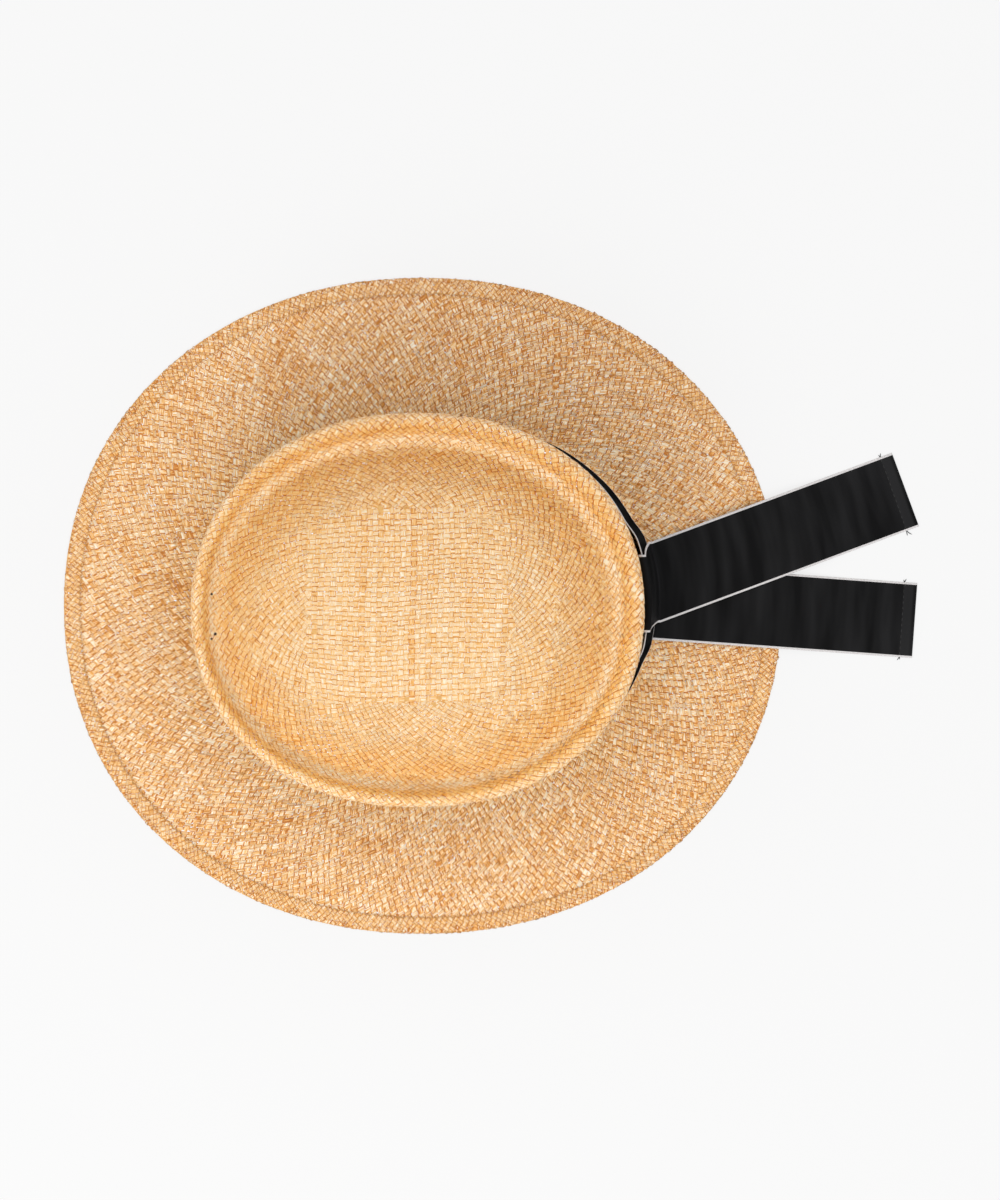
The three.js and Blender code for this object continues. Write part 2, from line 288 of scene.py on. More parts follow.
SECTION, RUN, REACH, ENDS = sheet_section()
DOME_END, GROOVE_END, RIM_END, FILLET_END, BRIM_END, UNDER_HEM_END, FOLD_END, HEM_END = ENDS

# Winding: the run over the way round, summed along the section
LEAST_REACH = 4.0
WAY_ROUND = 2 * math.pi * np.maximum(REACH[1:], LEAST_REACH)
WINDING = summed(np.diff(RUN) / WAY_ROUND)

# The same share of the way round everywhere: polar angle by even steps along a middling oval
MIDDLING_OVAL = np.array([130.0, 117.0, 0, 0, 2.12, 0])
ANGLE_STEPS = 1440
TABLE_ANGLES = np.linspace(0, 2 * math.pi, ANGLE_STEPS + 1)
TABLE_REACH = oval_reach(TABLE_ANGLES, MIDDLING_OVAL)
TABLE_X = TABLE_REACH * np.cos(TABLE_ANGLES)
TABLE_Y = TABLE_REACH * np.sin(TABLE_ANGLES)
TABLE_STEPS = np.hypot(np.diff(TABLE_X), np.diff(TABLE_Y))
TABLE_SHARES = summed(TABLE_STEPS) / TABLE_STEPS.sum()


def even_angle(share):
    """Polar angle at a share of the way round."""
    whole = np.floor(share)
    return 2 * math.pi * whole + np.interp(share - whole, TABLE_SHARES, TABLE_ANGLES)


def sheet_point(angle, run, lift):
    """Middle + reach (cos, sin) of the oval at this place along the section, lifted along the normal."""
    columns = np.stack([np.interp(run, RUN, SECTION[:, k]) for k in range(SECTION.shape[1])], axis=-1)
    reach = oval_reach(angle, columns) + lift * columns[..., NORMAL_OUT]
    x = columns[..., MID_X] + reach * np.cos(angle)
    y = columns[..., MID_Y] + reach * np.sin(angle)
    z = columns[..., HEIGHT] + lift * columns[..., NORMAL_UP]
    return stacked(x, y, z)


# Woven strands

TOOTH_RISE = 0.12
TOOTH_SWING = 0.22
RISE_SPREAD = 0.30
RISE_LIMITS = (0.45, 1.5)
EDGE_RISE = 0.72
EDGE_TWIST = 0.30
STRAND_FILL = 1.02
FLOAT_BULGE = 0.10
FILL_SPREAD = 0.08
LANE_TONE = 0.038
LANE_FREEDOM = 5
# One way paler and the other deeper: partly the straw's own tone, partly painted shade of how light falls
# along each way
WAY_SHADE_TONE = 0.25
LINE_JITTER = 0.24
LINE_WANDER = 0.13
ROW_EVENNESS = 0.45
COLUMN_EVENNESS = 0.75
OVER_SHARES = np.array([[0.14], [0.86]])
TOOTH_SHARES = np.array([[-0.10], [0.10]])
UNDER_SHARES = np.array([[0.32], [0.68]])
ACROSS = np.array([-1.0, 0.0, 1.0])
END_TUCK = 0.15
TUCK_RUN = 2.0
OVERLAP = (1.5, 5.0)
SPARE_CROSSINGS = 12
REPEAT = 97
STRAND_OFFSET = 131.7
FLOAT_TONE = 0.8
FLOAT_FREEDOM = 4
FLOAT_EVERYWHERE = 0.45
PALEST_FLOAT = 2.2
BROWN_SHARE = 0.008
BROWN_TONE = -6.0
DARK_LANE_TONE = -4.5
OPEN_SHARE = 0.05
OPEN_LANE = 0.36

INNER_BRIM_END = FILLET_END + 18.0
MIDDLE_BRIM_END = FILLET_END + 37.0
RINGS = [
    # name, strands each way, from and to (mm along the section), leans of the two ways off radial (degrees),
    # rise of a strand over its neighbours (mm), spread of tones, unevenness, how far the second way stands
    # out like teeth, side of the sheet that shows
    ("dome_inner", 100, 38.0, 60.5, 47, -52, 0.20, 1.05, 0.7, 0.4, 1),
    ("dome_outer", 130, 60.5, DOME_END + 2.0, 50, -56, 0.26, 1.12, 0.8, 0.6, 1),
    ("groove", 158, DOME_END + 2.0, RIM_END, 47, -52, 0.28, 1.12, 0.8, 0.5, 1),
    ("wall", 188, RIM_END, FILLET_END, 42, -48, 0.34, 1.20, 0.9, 0.6, 1),
    ("brim_inner", 222, FILLET_END, INNER_BRIM_END, 18, -53, 0.37, 1.80, 1.0, 1.0, 1),
    ("brim_middle", 262, INNER_BRIM_END, MIDDLE_BRIM_END, 21, -53, 0.37, 1.80, 1.0, 1.0, 1),
    ("brim_outer", 306, MIDDLE_BRIM_END, UNDER_HEM_END, 25, -53, 0.37, 1.80, 1.0, 1.0, 1),
    ("hem", 380, UNDER_HEM_END, HEM_END, 30, -50, 0.18, 1.30, 0.9, 0.3, -1),
]
PLACE, TONE, GOLDEN_AND_SHADE, DEEP_AND_SHADE = range(4)
PLACE_TONES = np.array([
    # along the section (mm), tone added there, how golden the straw is there, how deep;
    # in the groove, at the dome's shoulder and at the crown's foot, partly the straw's colour and partly
    # painted shade
    [0.0, 0.01, 0.0, 0.17],
    [42.0, 0.01, 0.0, 0.19],
    [60.0, -0.05, 0.05, 0.26],
    [DOME_END - 14.0, -0.07, 0.20, 0.30],
    [DOME_END - 8.0, -0.07, 0.36, 0.34],
    [DOME_END - 3.0, -0.06, 0.58, 0.42],
    [DOME_END, -0.05, 0.52, 0.38],
    [GROOVE_END - 3.0, 0.01, 0.18, 0.14],
    [GROOVE_END, 0.03, 0.12, 0.02],
    [RIM_END - 11.0, -0.04, 0.75, 0.16],
    [RIM_END - 8.0, -0.06, 0.92, 0.32],
    [RIM_END - 6.3, -0.05, 0.55, 0.26],
    [RIM_END - 4.0, -0.03, 0.05, 0.08],
    [RIM_END, -0.05, 0.0, 0.06],
    [FILLET_END, -0.09, 0.25, 0.0],
    [INNER_BRIM_END, -0.13, 0.0, 0.0],
    [HEM_END, -0.12, 0.0, 0.0],
])
# Factors of golden and of deep: change for each millimetre along Y, and limits; this is painted shade, more
# golden towards the front and deeper towards the back
GOLDEN_SHADE_SWING = -0.004
GOLDEN_SHADE_LIMITS = (1.0, 1.4)
DEEP_SHADE_SWING = 0.006
DEEP_SHADE_LIMITS = (0.3, 1.8)
PLACE_RISES = np.array([
    # along the section (mm), share of the ring's rise there
    [0.0, 1.0],
    [RIM_END, 1.0],
    [FILLET_END, 1.2],
    [FILLET_END + 30.0, 1.0],
    [BRIM_END - 5.0, 0.7],
    [BRIM_END, 0.5],
    [UNDER_HEM_END, 0.5],
    [FOLD_END, 1.0],
])
STAINS = np.array([
    # place on the brim (mm about the hat line), half length, half width (mm), direction, tone at its middle
    [-112.5, 9.0, 13.0, 5.0, math.radians(-55), -0.24],
])
RELIEF_SWING = 0.30
RELIEF_ANGLE = math.radians(10)
TONE_SWING = 0.22
TONE_ANGLE = math.radians(65)
SQUARE_RISE = 0.12
SQUARE_TONES = 1.0
SQUARE_LANES = 1.5
SQUARE_UNEVENNESS = 0.5
SQUARE_TOOTHED = 0.4
# How strongly the square's rows show painted shade lines
SQUARE_ROW_SHADE_LINES = 0.95
SQUARE_DARK_COLUMN = 1.4
STRAIGHT_BORDERS = (RIM_END, FILLET_END, UNDER_HEM_END, HEM_END)
BORDER_WAVES = [
    # height (mm), waves round the hat, phase
    (2.6, 3, 0.4),
    (2.0, 8, 2.1),
    (1.4, 19, 4.0),
]
SQUARE_MIDDLE = (-3.0, 0.5)
SQUARE_HALF = (44.5, 43.0)
SQUARE_ROUND = 7
SQUARE_RAGGED = 0.13
SQUARE_BULGE = 0.07
SQUARE_SPARE = 8
# Shares of the square where its own strands end, where those of the ring begin, and over which ends sink
SQUARE_REACH = 1.05
RING_REACH = 0.86
SQUARE_SINK = 0.05
ROW_PITCH = 2.05
COLUMN_PITCH = 2.33
ROW_WAVES = [
    # height (mm), lengths along X and along Y that turn the wave by a radian (mm)
    (0.9, 19.0, 50.0),
    (0.4, 8.0, -23.0),
]
COLUMN_WAVES = [(0.6, 40.0, 15.0)]


def square_norm(x, y):
    """Below 1 inside the rounded square at the middle of the crown."""
    across = np.abs((x - SQUARE_MIDDLE[0]) / SQUARE_HALF[0]) ** SQUARE_ROUND
    return (across + np.abs((y - SQUARE_MIDDLE[1]) / SQUARE_HALF[1]) ** SQUARE_ROUND) ** (1 / SQUARE_ROUND)


def wandering_lines(count, unevenness):
    """Lines between strands at whole numbers, each moved by its own amount and wandering along its length."""
    moved = unevenness * RNG.uniform(-LINE_JITTER, LINE_JITTER, count)
    steps = RNG.normal(0, 1, (count, REPEAT))
    smooth = (steps + np.roll(steps, 1, axis=1) + np.roll(steps, -1, axis=1)) / math.sqrt(3)
    wander = unevenness * LINE_WANDER
    return lambda k, other: k + moved[k % count] + wander * smooth[k % count, other % REPEAT]


def strand_lanes(lane_lines, cross_lines, cross_index, sign, rise, unevenness, toothed, shown=1):
    """Lanes of one way, undulating over and under the strands of the other way.

    Lane k lies between lines k and k + 1; along it, each crossing has two places at sign times +rise where
    lane and crossing numbers add up even and -rise where odd, a little tilted each its own way. The places
    are far apart, and the strand wide, on the side of the sheet that shows.
    Gives lane and cross coordinates, lift, strand and crossing numbers and side, each [lane, place, across].
    """
    lanes = np.arange(len(cross_index))[:, None, None, None]
    crossing = cross_index[:, :, None, None]
    low = lane_lines(lanes, crossing)
    high = lane_lines(lanes + 1, crossing)
    side = sign * (1 - 2 * ((lanes + crossing) % 2))
    spread = unevenness * FILL_SPREAD * RNG.normal(0, 1, crossing.shape)
    fill = STRAND_FILL + toothed * FLOAT_BULGE * shown * side + spread
    lane = (low + high) / 2 + (high - low) / 2 * fill * ACROSS
    start = cross_lines(crossing, lanes)
    shares = np.where(shown * side > 0, OVER_SHARES + toothed * TOOTH_SHARES, UNDER_SHARES)
    cross = start + (cross_lines(crossing + 1, lanes) - start) * shares
    rise_spread = unevenness * RISE_SPREAD * RNG.normal(0, 1, crossing.shape)
    rise = rise * (1 - sign * toothed * TOOTH_RISE) * np.clip(1 + rise_spread, *RISE_LIMITS)
    twist = unevenness * EDGE_TWIST * RNG.normal(0, 1, crossing.shape) * ACROSS
    lift = rise * (side * np.where(ACROSS == 0, 1.0, EDGE_RISE) + twist)
    arrays = np.broadcast_arrays(lane, cross, lift, lanes, crossing, side)
    shape = (arrays[0].shape[0], -1, len(ACROSS))
    whole = (len(cross_index), cross_index.shape[1], len(OVER_SHARES), len(ACROSS))
    return [np.broadcast_to(array, whole).reshape(shape) for array in arrays]


def at_place(place, column):
    """A column of the table of tones at each place along the section, straight from row to row."""
    return np.interp(place, PLACE_TONES[:, PLACE], PLACE_TONES[:, column])


def woven(points, side, lanes, crossing, cross, keep, flip, count, tones, toothed, row_shade_lines, way_shade_tone, place,
          lane_share=1.0, dark_lane=-1):
    """One way's strands as arrays: points, faces of kept places, strand coordinates and tones.

    Tones are random by strand and by single float, plus what the place along the section adds. The golden and
    the deep share, partly the straw's colour and partly painted shade, change evenly from one side of the hat
    to the other, within limits, as painted shade.
    """
    strips, rows, columns = side.shape
    faces = grid_faces(strips, rows, columns)
    faces = faces[keep.ravel()[faces].all(axis=1)]
    if flip:
        faces = faces[:, ::-1]
    # each way's offset: partly the straw's own tone, partly painted shade
    lane_tone = RNG.standard_t(LANE_FREEDOM, count)[lanes % count] + way_shade_tone
    lane_tone = lane_tone + DARK_LANE_TONE * (lanes == dark_lane)
    lane_tone = LANE_TONE * lane_share * tones * lane_tone + at_place(place, TONE)
    float_tones = np.minimum(RNG.standard_t(FLOAT_FREEDOM, (count, REPEAT)), PALEST_FLOAT)
    float_tones = FLOAT_TONE * (FLOAT_EVERYWHERE + (1 - FLOAT_EVERYWHERE) * toothed) * float_tones
    float_tones += BROWN_TONE * (RNG.uniform(0, 1, (count, REPEAT)) < BROWN_SHARE * (toothed == 1))
    float_tone = float_tones[lanes % count, crossing % REPEAT]
    open_lane = OPEN_LANE * (RNG.uniform(0, 1, count) < OPEN_SHARE)
    angle = np.arctan2(points[..., 1], points[..., 0])
    swing = 1 - TOOTH_SWING + TOOTH_SWING * np.cos(2 * angle)
    # golden and deep: partly the straw's own colour, partly painted shade; their change along Y is painted
    # shade
    golden_and_shade = at_place(place, GOLDEN_AND_SHADE) * np.clip(1 + GOLDEN_SHADE_SWING * points[..., 1], *GOLDEN_SHADE_LIMITS)
    deep_and_shade = at_place(place, DEEP_AND_SHADE) * np.clip(1 + DEEP_SHADE_SWING * points[..., 1], *DEEP_SHADE_LIMITS)
    uv = stacked(cross + STRAND_OFFSET * lanes, ACROSS)
    floats = {
        "strand_tone": lane_tone + stain_tone(points),
        "tones": tones * (1 + TONE_SWING * np.clip(np.cos(angle - TONE_ANGLE), 0, 1)),
        "float_tone": float_tone,
        "crest": side,
        "along_float": cross - crossing - 0.5,
        "open_lane": open_lane[lanes % count],
        # weight of the painted shade lines at sides against those at dives
        "tooth_shade": 0.5 + (0.5 if flip else -0.5) * row_shade_lines * swing,
        "golden_and_shade": golden_and_shade,
        "deep_and_shade": deep_and_shade,
    }
    floats = {key: values.reshape(-1) for key, values in floats.items()}
    return points.reshape(-1, 3), faces, uv.reshape(-1, 2), floats


def stain_tone(points):
    """Sum of bells exp(-(along / half length)^2 - (across / half width)^2), each turned to its direction."""
    x, y, half_length, half_width, direction, tone = STAINS.T
    away_x = points[..., 0, None] - x
    away_y = points[..., 1, None] - y
    along = away_x * np.cos(direction) + away_y * np.sin(direction)
    across = away_y * np.cos(direction) - away_x * np.sin(direction)
    return (tone * np.exp(-(along / half_length) ** 2 - (across / half_width) ** 2)).sum(axis=-1)


def ring_border(run, share):
    """A border between rings: level along the section, or wandering by three sine waves round the hat."""
    if run in STRAIGHT_BORDERS:
        return run
    turn = 2 * math.pi * share
    return run + sum(height * np.sin(count * turn + phase + run) for height, count, phase in BORDER_WAVES)


def ring_strands(count, start, end, lean_a, lean_b, rise, tones, unevenness, toothed, shown, inside_square):
    """Both ways of one ring of weave.

    With w the winding and t the share of the way round, lines of way a keep count (t - w tan a) and those of
    way b keep count (t - w tan b). Strands run on past the ring's borders by uneven lengths and sink there
    under those of the next ring.
    """
    tan_a = math.tan(math.radians(lean_a))
    tan_b = math.tan(math.radians(lean_b))
    spread = count * (tan_a - tan_b)
    wind = np.interp([start, end], RUN, WINDING)
    crossings = math.ceil(spread * (wind[1] - wind[0]))
    steps = np.arange(-SPARE_CROSSINGS, crossings + SPARE_CROSSINGS)
    number = np.arange(count)[:, None]
    lines_a = wandering_lines(count, ROW_EVENNESS * unevenness)
    lines_b = wandering_lines(count, COLUMN_EVENNESS * unevenness)
    sizes = (rise, unevenness, toothed, shown)
    ways = []
    for flip in (False, True):
        if flip:
            strands = strand_lanes(lines_b, lines_a, number - steps[::-1], -1, *sizes)
        else:
            strands = strand_lanes(lines_a, lines_b, number + steps, 1, *sizes)
        lane, cross, lift, lanes, crossing, side = strands
        phase_a, phase_b = (cross, lane) if flip else (lane, cross)
        winding = wind[0] + (phase_b - phase_a) / spread
        run = np.interp(winding, WINDING, RUN)
        share = phase_a / count + tan_a * (winding - wind[0])
        over = RNG.uniform(*OVERLAP, (2, count))[:, :, None, None]
        before = ring_border(start, share) - run
        after = run - ring_border(end, share)
        keep = (before < over[0]) & (after < over[1]) & (winding > WINDING[1]) & (winding < WINDING[-1])
        tuck = np.clip(np.maximum(before, after) / TUCK_RUN, 0, 1)
        angle = even_angle(share)
        relief = np.interp(run, *PLACE_RISES.T) * (1 + RELIEF_SWING * np.cos(angle - RELIEF_ANGLE))
        points = sheet_point(angle, run, lift * relief - END_TUCK * tuck)
        points[..., 2] = np.maximum(points[..., 2], 0)
        if inside_square:
            norm = square_norm(points[..., 0], points[..., 1])
            ragged = RNG.uniform(-SQUARE_RAGGED, SQUARE_RAGGED, count)[:, None, None]
            keep &= norm > RING_REACH + ragged
            points[..., 2] -= END_TUCK * np.clip((1 - norm) / SQUARE_SINK, 0, 1)
        way_shade_tone = WAY_SHADE_TONE if flip else -WAY_SHADE_TONE
        ways.append(woven(points, side, lanes, crossing, cross, keep, flip, count, tones, toothed, toothed,
                          way_shade_tone, run))
    return ways


def wave_sum(waves, x, y):
    """Sum of height sin(x / length along X + y / length along Y)."""
    return sum(height * np.sin(x / along_x + y / along_y) for height, along_x, along_y in waves)


def square_strands():
    """The square of straight weave at the middle of the crown: rows along X and columns along Y, both wavy.

    Lines lie at even pitches, pushed out by the bulge times the cube of their share of the half width, most
    at the middle of each side, and then moved by the waves.
    """
    rows = 2 * math.ceil(SQUARE_HALF[1] / ROW_PITCH) + SQUARE_SPARE
    columns = 2 * math.ceil(SQUARE_HALF[0] / COLUMN_PITCH) + SQUARE_SPARE
    row_shade_lines = wandering_lines(rows + 1, ROW_EVENNESS * SQUARE_UNEVENNESS)
    column_lines = wandering_lines(columns + 1, COLUMN_EVENNESS * SQUARE_UNEVENNESS)
    base = SECTION[np.searchsorted(RUN, DOME_END)]
    sizes = (SQUARE_RISE, SQUARE_UNEVENNESS, SQUARE_TOOTHED)
    ways = []
    for flip in (False, True):
        if flip:
            count = columns
            crossings = np.repeat(np.arange(rows)[None, :], columns, axis=0)
            strands = strand_lanes(column_lines, row_shade_lines, crossings, -1, *sizes)
        else:
            count = rows
            crossings = np.repeat(np.arange(columns)[None, :], rows, axis=0)
            strands = strand_lanes(row_shade_lines, column_lines, crossings, 1, *sizes)
        lane, cross, lift, lanes, crossing, side = strands
        x, y = (lane, cross) if flip else (cross, lane)
        x = (x - columns / 2) * COLUMN_PITCH
        y = (y - rows / 2) * ROW_PITCH
        far_x = np.abs(x / SQUARE_HALF[0])
        far_y = np.abs(y / SQUARE_HALF[1])
        bulge_x = 1 + SQUARE_BULGE * far_x ** 3 * (1 - np.minimum(far_y, 1) ** 2)
        bulge_y = 1 + SQUARE_BULGE * far_y ** 3 * (1 - np.minimum(far_x, 1) ** 2)
        x = SQUARE_MIDDLE[0] + x * bulge_x
        y = SQUARE_MIDDLE[1] + y * bulge_y
        y = y + wave_sum(ROW_WAVES, x, y)
        x = x + wave_sum(COLUMN_WAVES, x, y)
        ragged = RNG.uniform(-SQUARE_RAGGED, SQUARE_RAGGED, count)[:, None, None]
        norm = square_norm(x, y)
        keep = norm < SQUARE_REACH + ragged
        from_middle = [x - base[MID_X], y - base[MID_Y]]
        angle = np.arctan2(from_middle[1], from_middle[0])
        share = np.hypot(*from_middle) / oval_reach(angle, base)
        run = np.interp(share, DOME_SHARES, RUN[:DOME_ROWS])
        points = sheet_point(angle, run, lift - END_TUCK * np.clip((norm - 1) / SQUARE_SINK, 0, 1))
        way_shade_tone = -WAY_SHADE_TONE if flip else WAY_SHADE_TONE
        dark_lane = int(columns / 2 + SQUARE_DARK_COLUMN / COLUMN_PITCH) if flip else -1
        ways.append(woven(points, side, lanes, crossing, cross, keep, flip, count, SQUARE_TONES,
                          SQUARE_TOOTHED, SQUARE_ROW_SHADE_LINES, way_shade_tone, run, SQUARE_LANES, dark_lane))
    return ways


def joined(name, ways):
    """One piece from several ways of strands."""
    starts = np.cumsum([0] + [len(way[0]) for way in ways[:-1]])
    points = np.concatenate([way[0] for way in ways])
    faces = np.concatenate([way[1] + start for way, start in zip(ways, starts)])
    uv = np.concatenate([way[2] for way in ways])
    floats = {key: np.concatenate([way[3][key] for way in ways]) for key in ways[0][3]}
    return piece_from_arrays(name, points, faces, uv, floats)


# Materials

MIX_FIRST, MIX_SECOND, MIX_RESULT = 6, 7, 2
RANGE_LOW, RANGE_HIGH, RANGE_START, RANGE_END = 1, 2, 3, 4


def new_material(name):
    """A material, its node tree and its shader."""
    material = bpy.data.materials.new(name)
    material.use_nodes = True
    tree = material.node_tree
    return material, tree, tree.nodes["Principled BSDF"]


def set_inputs(tree, made, inputs):
    """A node's inputs set to values or linked to sockets."""
    for key, value in inputs.items():
        if isinstance(value, bpy.types.NodeSocket):
            tree.links.new(value, made.inputs[key])
        else:
            made.inputs[key].default_value = value


def node(tree, kind, inputs=None, **settings):
    """A node with its settings and inputs."""
    made = tree.nodes.new(kind)
    for key, value in settings.items():
        setattr(made, key, value)
    set_inputs(tree, made, inputs or {})
    return made


def math_node(tree, operation, a, b=0.0, c=0.0):
    """The result of one operation on numbers or sockets."""
    return node(tree, "ShaderNodeMath", {0: a, 1: b, 2: c}, operation=operation).outputs[0]


def attribute(tree, name):
    """A point attribute of the piece."""
    return node(tree, "ShaderNodeAttribute", attribute_name=name).outputs["Fac"]


def noise(tree, place, scale, detail):
    """Smooth noise from 0 to 1."""
    inputs = {"Vector": place, "Scale": scale, "Detail": detail}
    return node(tree, "ShaderNodeTexNoise", inputs).outputs["Fac"]


def stretched_noise(tree, place, scales):
    """Smooth noise with its own scale along each direction."""
    stretched = node(tree, "ShaderNodeMapping", {"Vector": place, "Scale": scales}).outputs[0]
    return noise(tree, stretched, 1.0, 2.0)


def ranged(tree, value, low, high, start, end):
    """From start to end as the value goes from low to high."""
    limits = {"Value": value, RANGE_LOW: low, RANGE_HIGH: high, RANGE_START: start, RANGE_END: end}
    return node(tree, "ShaderNodeMapRange", limits).outputs[0]


def mixed(tree, factor, first, second, blend="MIX"):
    """The second colour over the first, or times it, by a factor."""
    colours = {"Factor": factor, MIX_FIRST: first, MIX_SECOND: second}
    return node(tree, "ShaderNodeMix", colours, data_type="RGBA", blend_type=blend).outputs[MIX_RESULT]


def ramp_node(tree, factor, stops):
    """Colour along a row of stops."""
    ramp = node(tree, "ShaderNodeValToRGB", {"Fac": factor})
    elements = ramp.color_ramp.elements
    while len(elements) < len(stops):
        elements.new(0.5)
    for element, (place, colour) in zip(elements, stops):
        element.position = place
        element.color = (*colour, 1)
    return ramp.outputs["Color"]


# Straw finish: colours by tone, tints (red, green, blue), partly painted shade, and the shares of each
# unevenness
STRAW_STOPS = [
    (0.00, (0.550, 0.180, 0.020)),
    (0.14, (0.745, 0.300, 0.045)),
    (0.32, (0.860, 0.440, 0.110)),
    (0.52, (0.910, 0.560, 0.225)),
    (0.76, (0.940, 0.690, 0.400)),
    (1.00, (0.965, 0.875, 0.715)),
]
DEEP_SHADE_TINT = (0.55, 0.40, 0.12, 1)
GOLDEN_SHADE_TINT = (1.06, 0.89, 0.52, 1)
PAINTED_LIGHT_COLOUR = (0.88, 0.92, 1.0, 1)
MIDDLE_TONE = 0.71
SLOW_SCALES = (0.11, 0.0, 1.0)
SLOW_TONE = 0.4
FIBRE_SCALES = (0.5, 4.0, 1.0)
FIBRE_TONE = 2.2
FIBRE_BUMP = 0.0005
FLOAT_SHARE = 0.035
# Painted shade: dark lines where a strand dives and along its sides; the patch numbers make them patchy
DIVE_END = 0.95
DIVE_SHADE = 0.20
DIVE_SHADE_TOOTH = 1.10
EDGE_START = 0.45
EDGE_SHADE = 1.20
EDGE_SHADE_TOOTH = -0.90
PATCH_SCALE = 1.7
PATCH_LEAST = 0.33
PATCH_SPREAD = 0.8
# Pale specks: painted light through gaps at float corners, and painted glints on strands' sides
PINHOLE = 0.27
PINHOLE_SCALE = 0.9
GLINT = 0.535
GLINT_SCALE = 2.3
STRAW_ROUGHNESS = 0.45
STRAW_SPECULAR = 0.4
HOLES = [
    # place in the row frame (mm), radius (mm)
    (-121.2, 5.2, 0.50),
    (-119.7, -12.1, 0.65),
    (-121.2, -14.2, 0.45),
]
# Painted shade inside the small holes
HOLE_SHADE_COLOUR = (0.025, 0.009, 0.002, 1)
# Core colours: dark brown, partly painted shade in the gaps, turning to pale blue painted light
CORE_SHADE_AND_LIGHT_STOPS = [(0.3, (0.58, 0.29, 0.08)), (0.66, (0.74, 0.43, 0.15)), (0.70, (0.80, 0.86, 0.95))]
CORE_SHADE_AND_LIGHT_SCALE = 400.0
CORE_SHADE_AND_LIGHT_DETAIL = 4.0
CORE_ROUGHNESS = 0.8


def strand_tones(tree, coordinates, across):
    """Tone of each bit of strand on the straw's row of colours; beside it the edge lines and the fibre noise.

    The middle tone, plus the strand's own, plus the spread of tones times this sum: a slow change along the
    strand, fibre lines, the single float's tone, and patchy dark lines of painted shade at the strand's sides
    and dives.
    """
    tooth_shade = attribute(tree, "tooth_shade")
    crest = math_node(tree, "ABSOLUTE", attribute(tree, "crest"))
    dive_shade = ranged(tree, crest, 0.0, DIVE_END, -1.0, 0.0)
    dive_shade = math_node(tree, "MULTIPLY", dive_shade, math_node(tree, "MULTIPLY_ADD", tooth_shade, DIVE_SHADE_TOOTH, DIVE_SHADE))
    edge = ranged(tree, across, EDGE_START, 1.0, 0.0, -1.0)
    edge_shade_depth = math_node(tree, "MULTIPLY_ADD", tooth_shade, EDGE_SHADE_TOOTH, EDGE_SHADE)
    # painted shade: dark lines at the strand's sides and dives
    lines = math_node(tree, "MULTIPLY_ADD", edge, edge_shade_depth, dive_shade)
    patches = noise(tree, coordinates, PATCH_SCALE, 1.0)
    patches = math_node(tree, "MULTIPLY_ADD", patches, PATCH_SPREAD, PATCH_LEAST)
    slow = math_node(tree, "SUBTRACT", stretched_noise(tree, coordinates, SLOW_SCALES), 0.5)
    fibre = stretched_noise(tree, coordinates, FIBRE_SCALES)
    uneven = math_node(tree, "MULTIPLY", slow, SLOW_TONE)
    uneven = math_node(tree, "MULTIPLY_ADD", math_node(tree, "SUBTRACT", fibre, 0.5), FIBRE_TONE, uneven)
    uneven = math_node(tree, "MULTIPLY_ADD", attribute(tree, "float_tone"), FLOAT_SHARE, uneven)
    uneven = math_node(tree, "MULTIPLY_ADD", lines, patches, uneven)
    own = math_node(tree, "ADD", attribute(tree, "strand_tone"), MIDDLE_TONE)
    return math_node(tree, "MULTIPLY_ADD", uneven, attribute(tree, "tones"), own), edge, fibre


def painted_light_specks(tree, coordinates, across, edge):
    """1 where painted light comes through at a float's corner and where a painted glint lies on a strand's
    side, 0 elsewhere.
    """
    corner = math_node(tree, "MULTIPLY", math_node(tree, "ABSOLUTE", attribute(tree, "along_float")), across)
    chance = noise(tree, coordinates, PINHOLE_SCALE, 0.0)
    chance = math_node(tree, "ADD", chance, attribute(tree, "open_lane"))
    pinhole = math_node(tree, "GREATER_THAN", math_node(tree, "MULTIPLY", corner, chance), PINHOLE)
    # painted glint on a strand's side
    glint = math_node(tree, "MULTIPLY", noise(tree, coordinates, GLINT_SCALE, 0.0), edge)
    return math_node(tree, "MAXIMUM", pinhole, math_node(tree, "LESS_THAN", glint, -GLINT))


def with_holes(tree, colour):
    """The colour with a dark round spot of painted shade at each small hole, whatever the height."""
    place = node(tree, "ShaderNodeTexCoord").outputs["Object"]
    level = node(tree, "ShaderNodeVectorMath", {0: place, 1: (1, 1, 0)}, operation="MULTIPLY").outputs[0]
    for x, y, radius in HOLES:
        ends = {0: level, 1: (x * MM, y * MM, 0)}
        away = node(tree, "ShaderNodeVectorMath", ends, operation="DISTANCE").outputs["Value"]
        colour = mixed(tree, math_node(tree, "LESS_THAN", away, radius * MM), colour, HOLE_SHADE_COLOUR)
    return colour


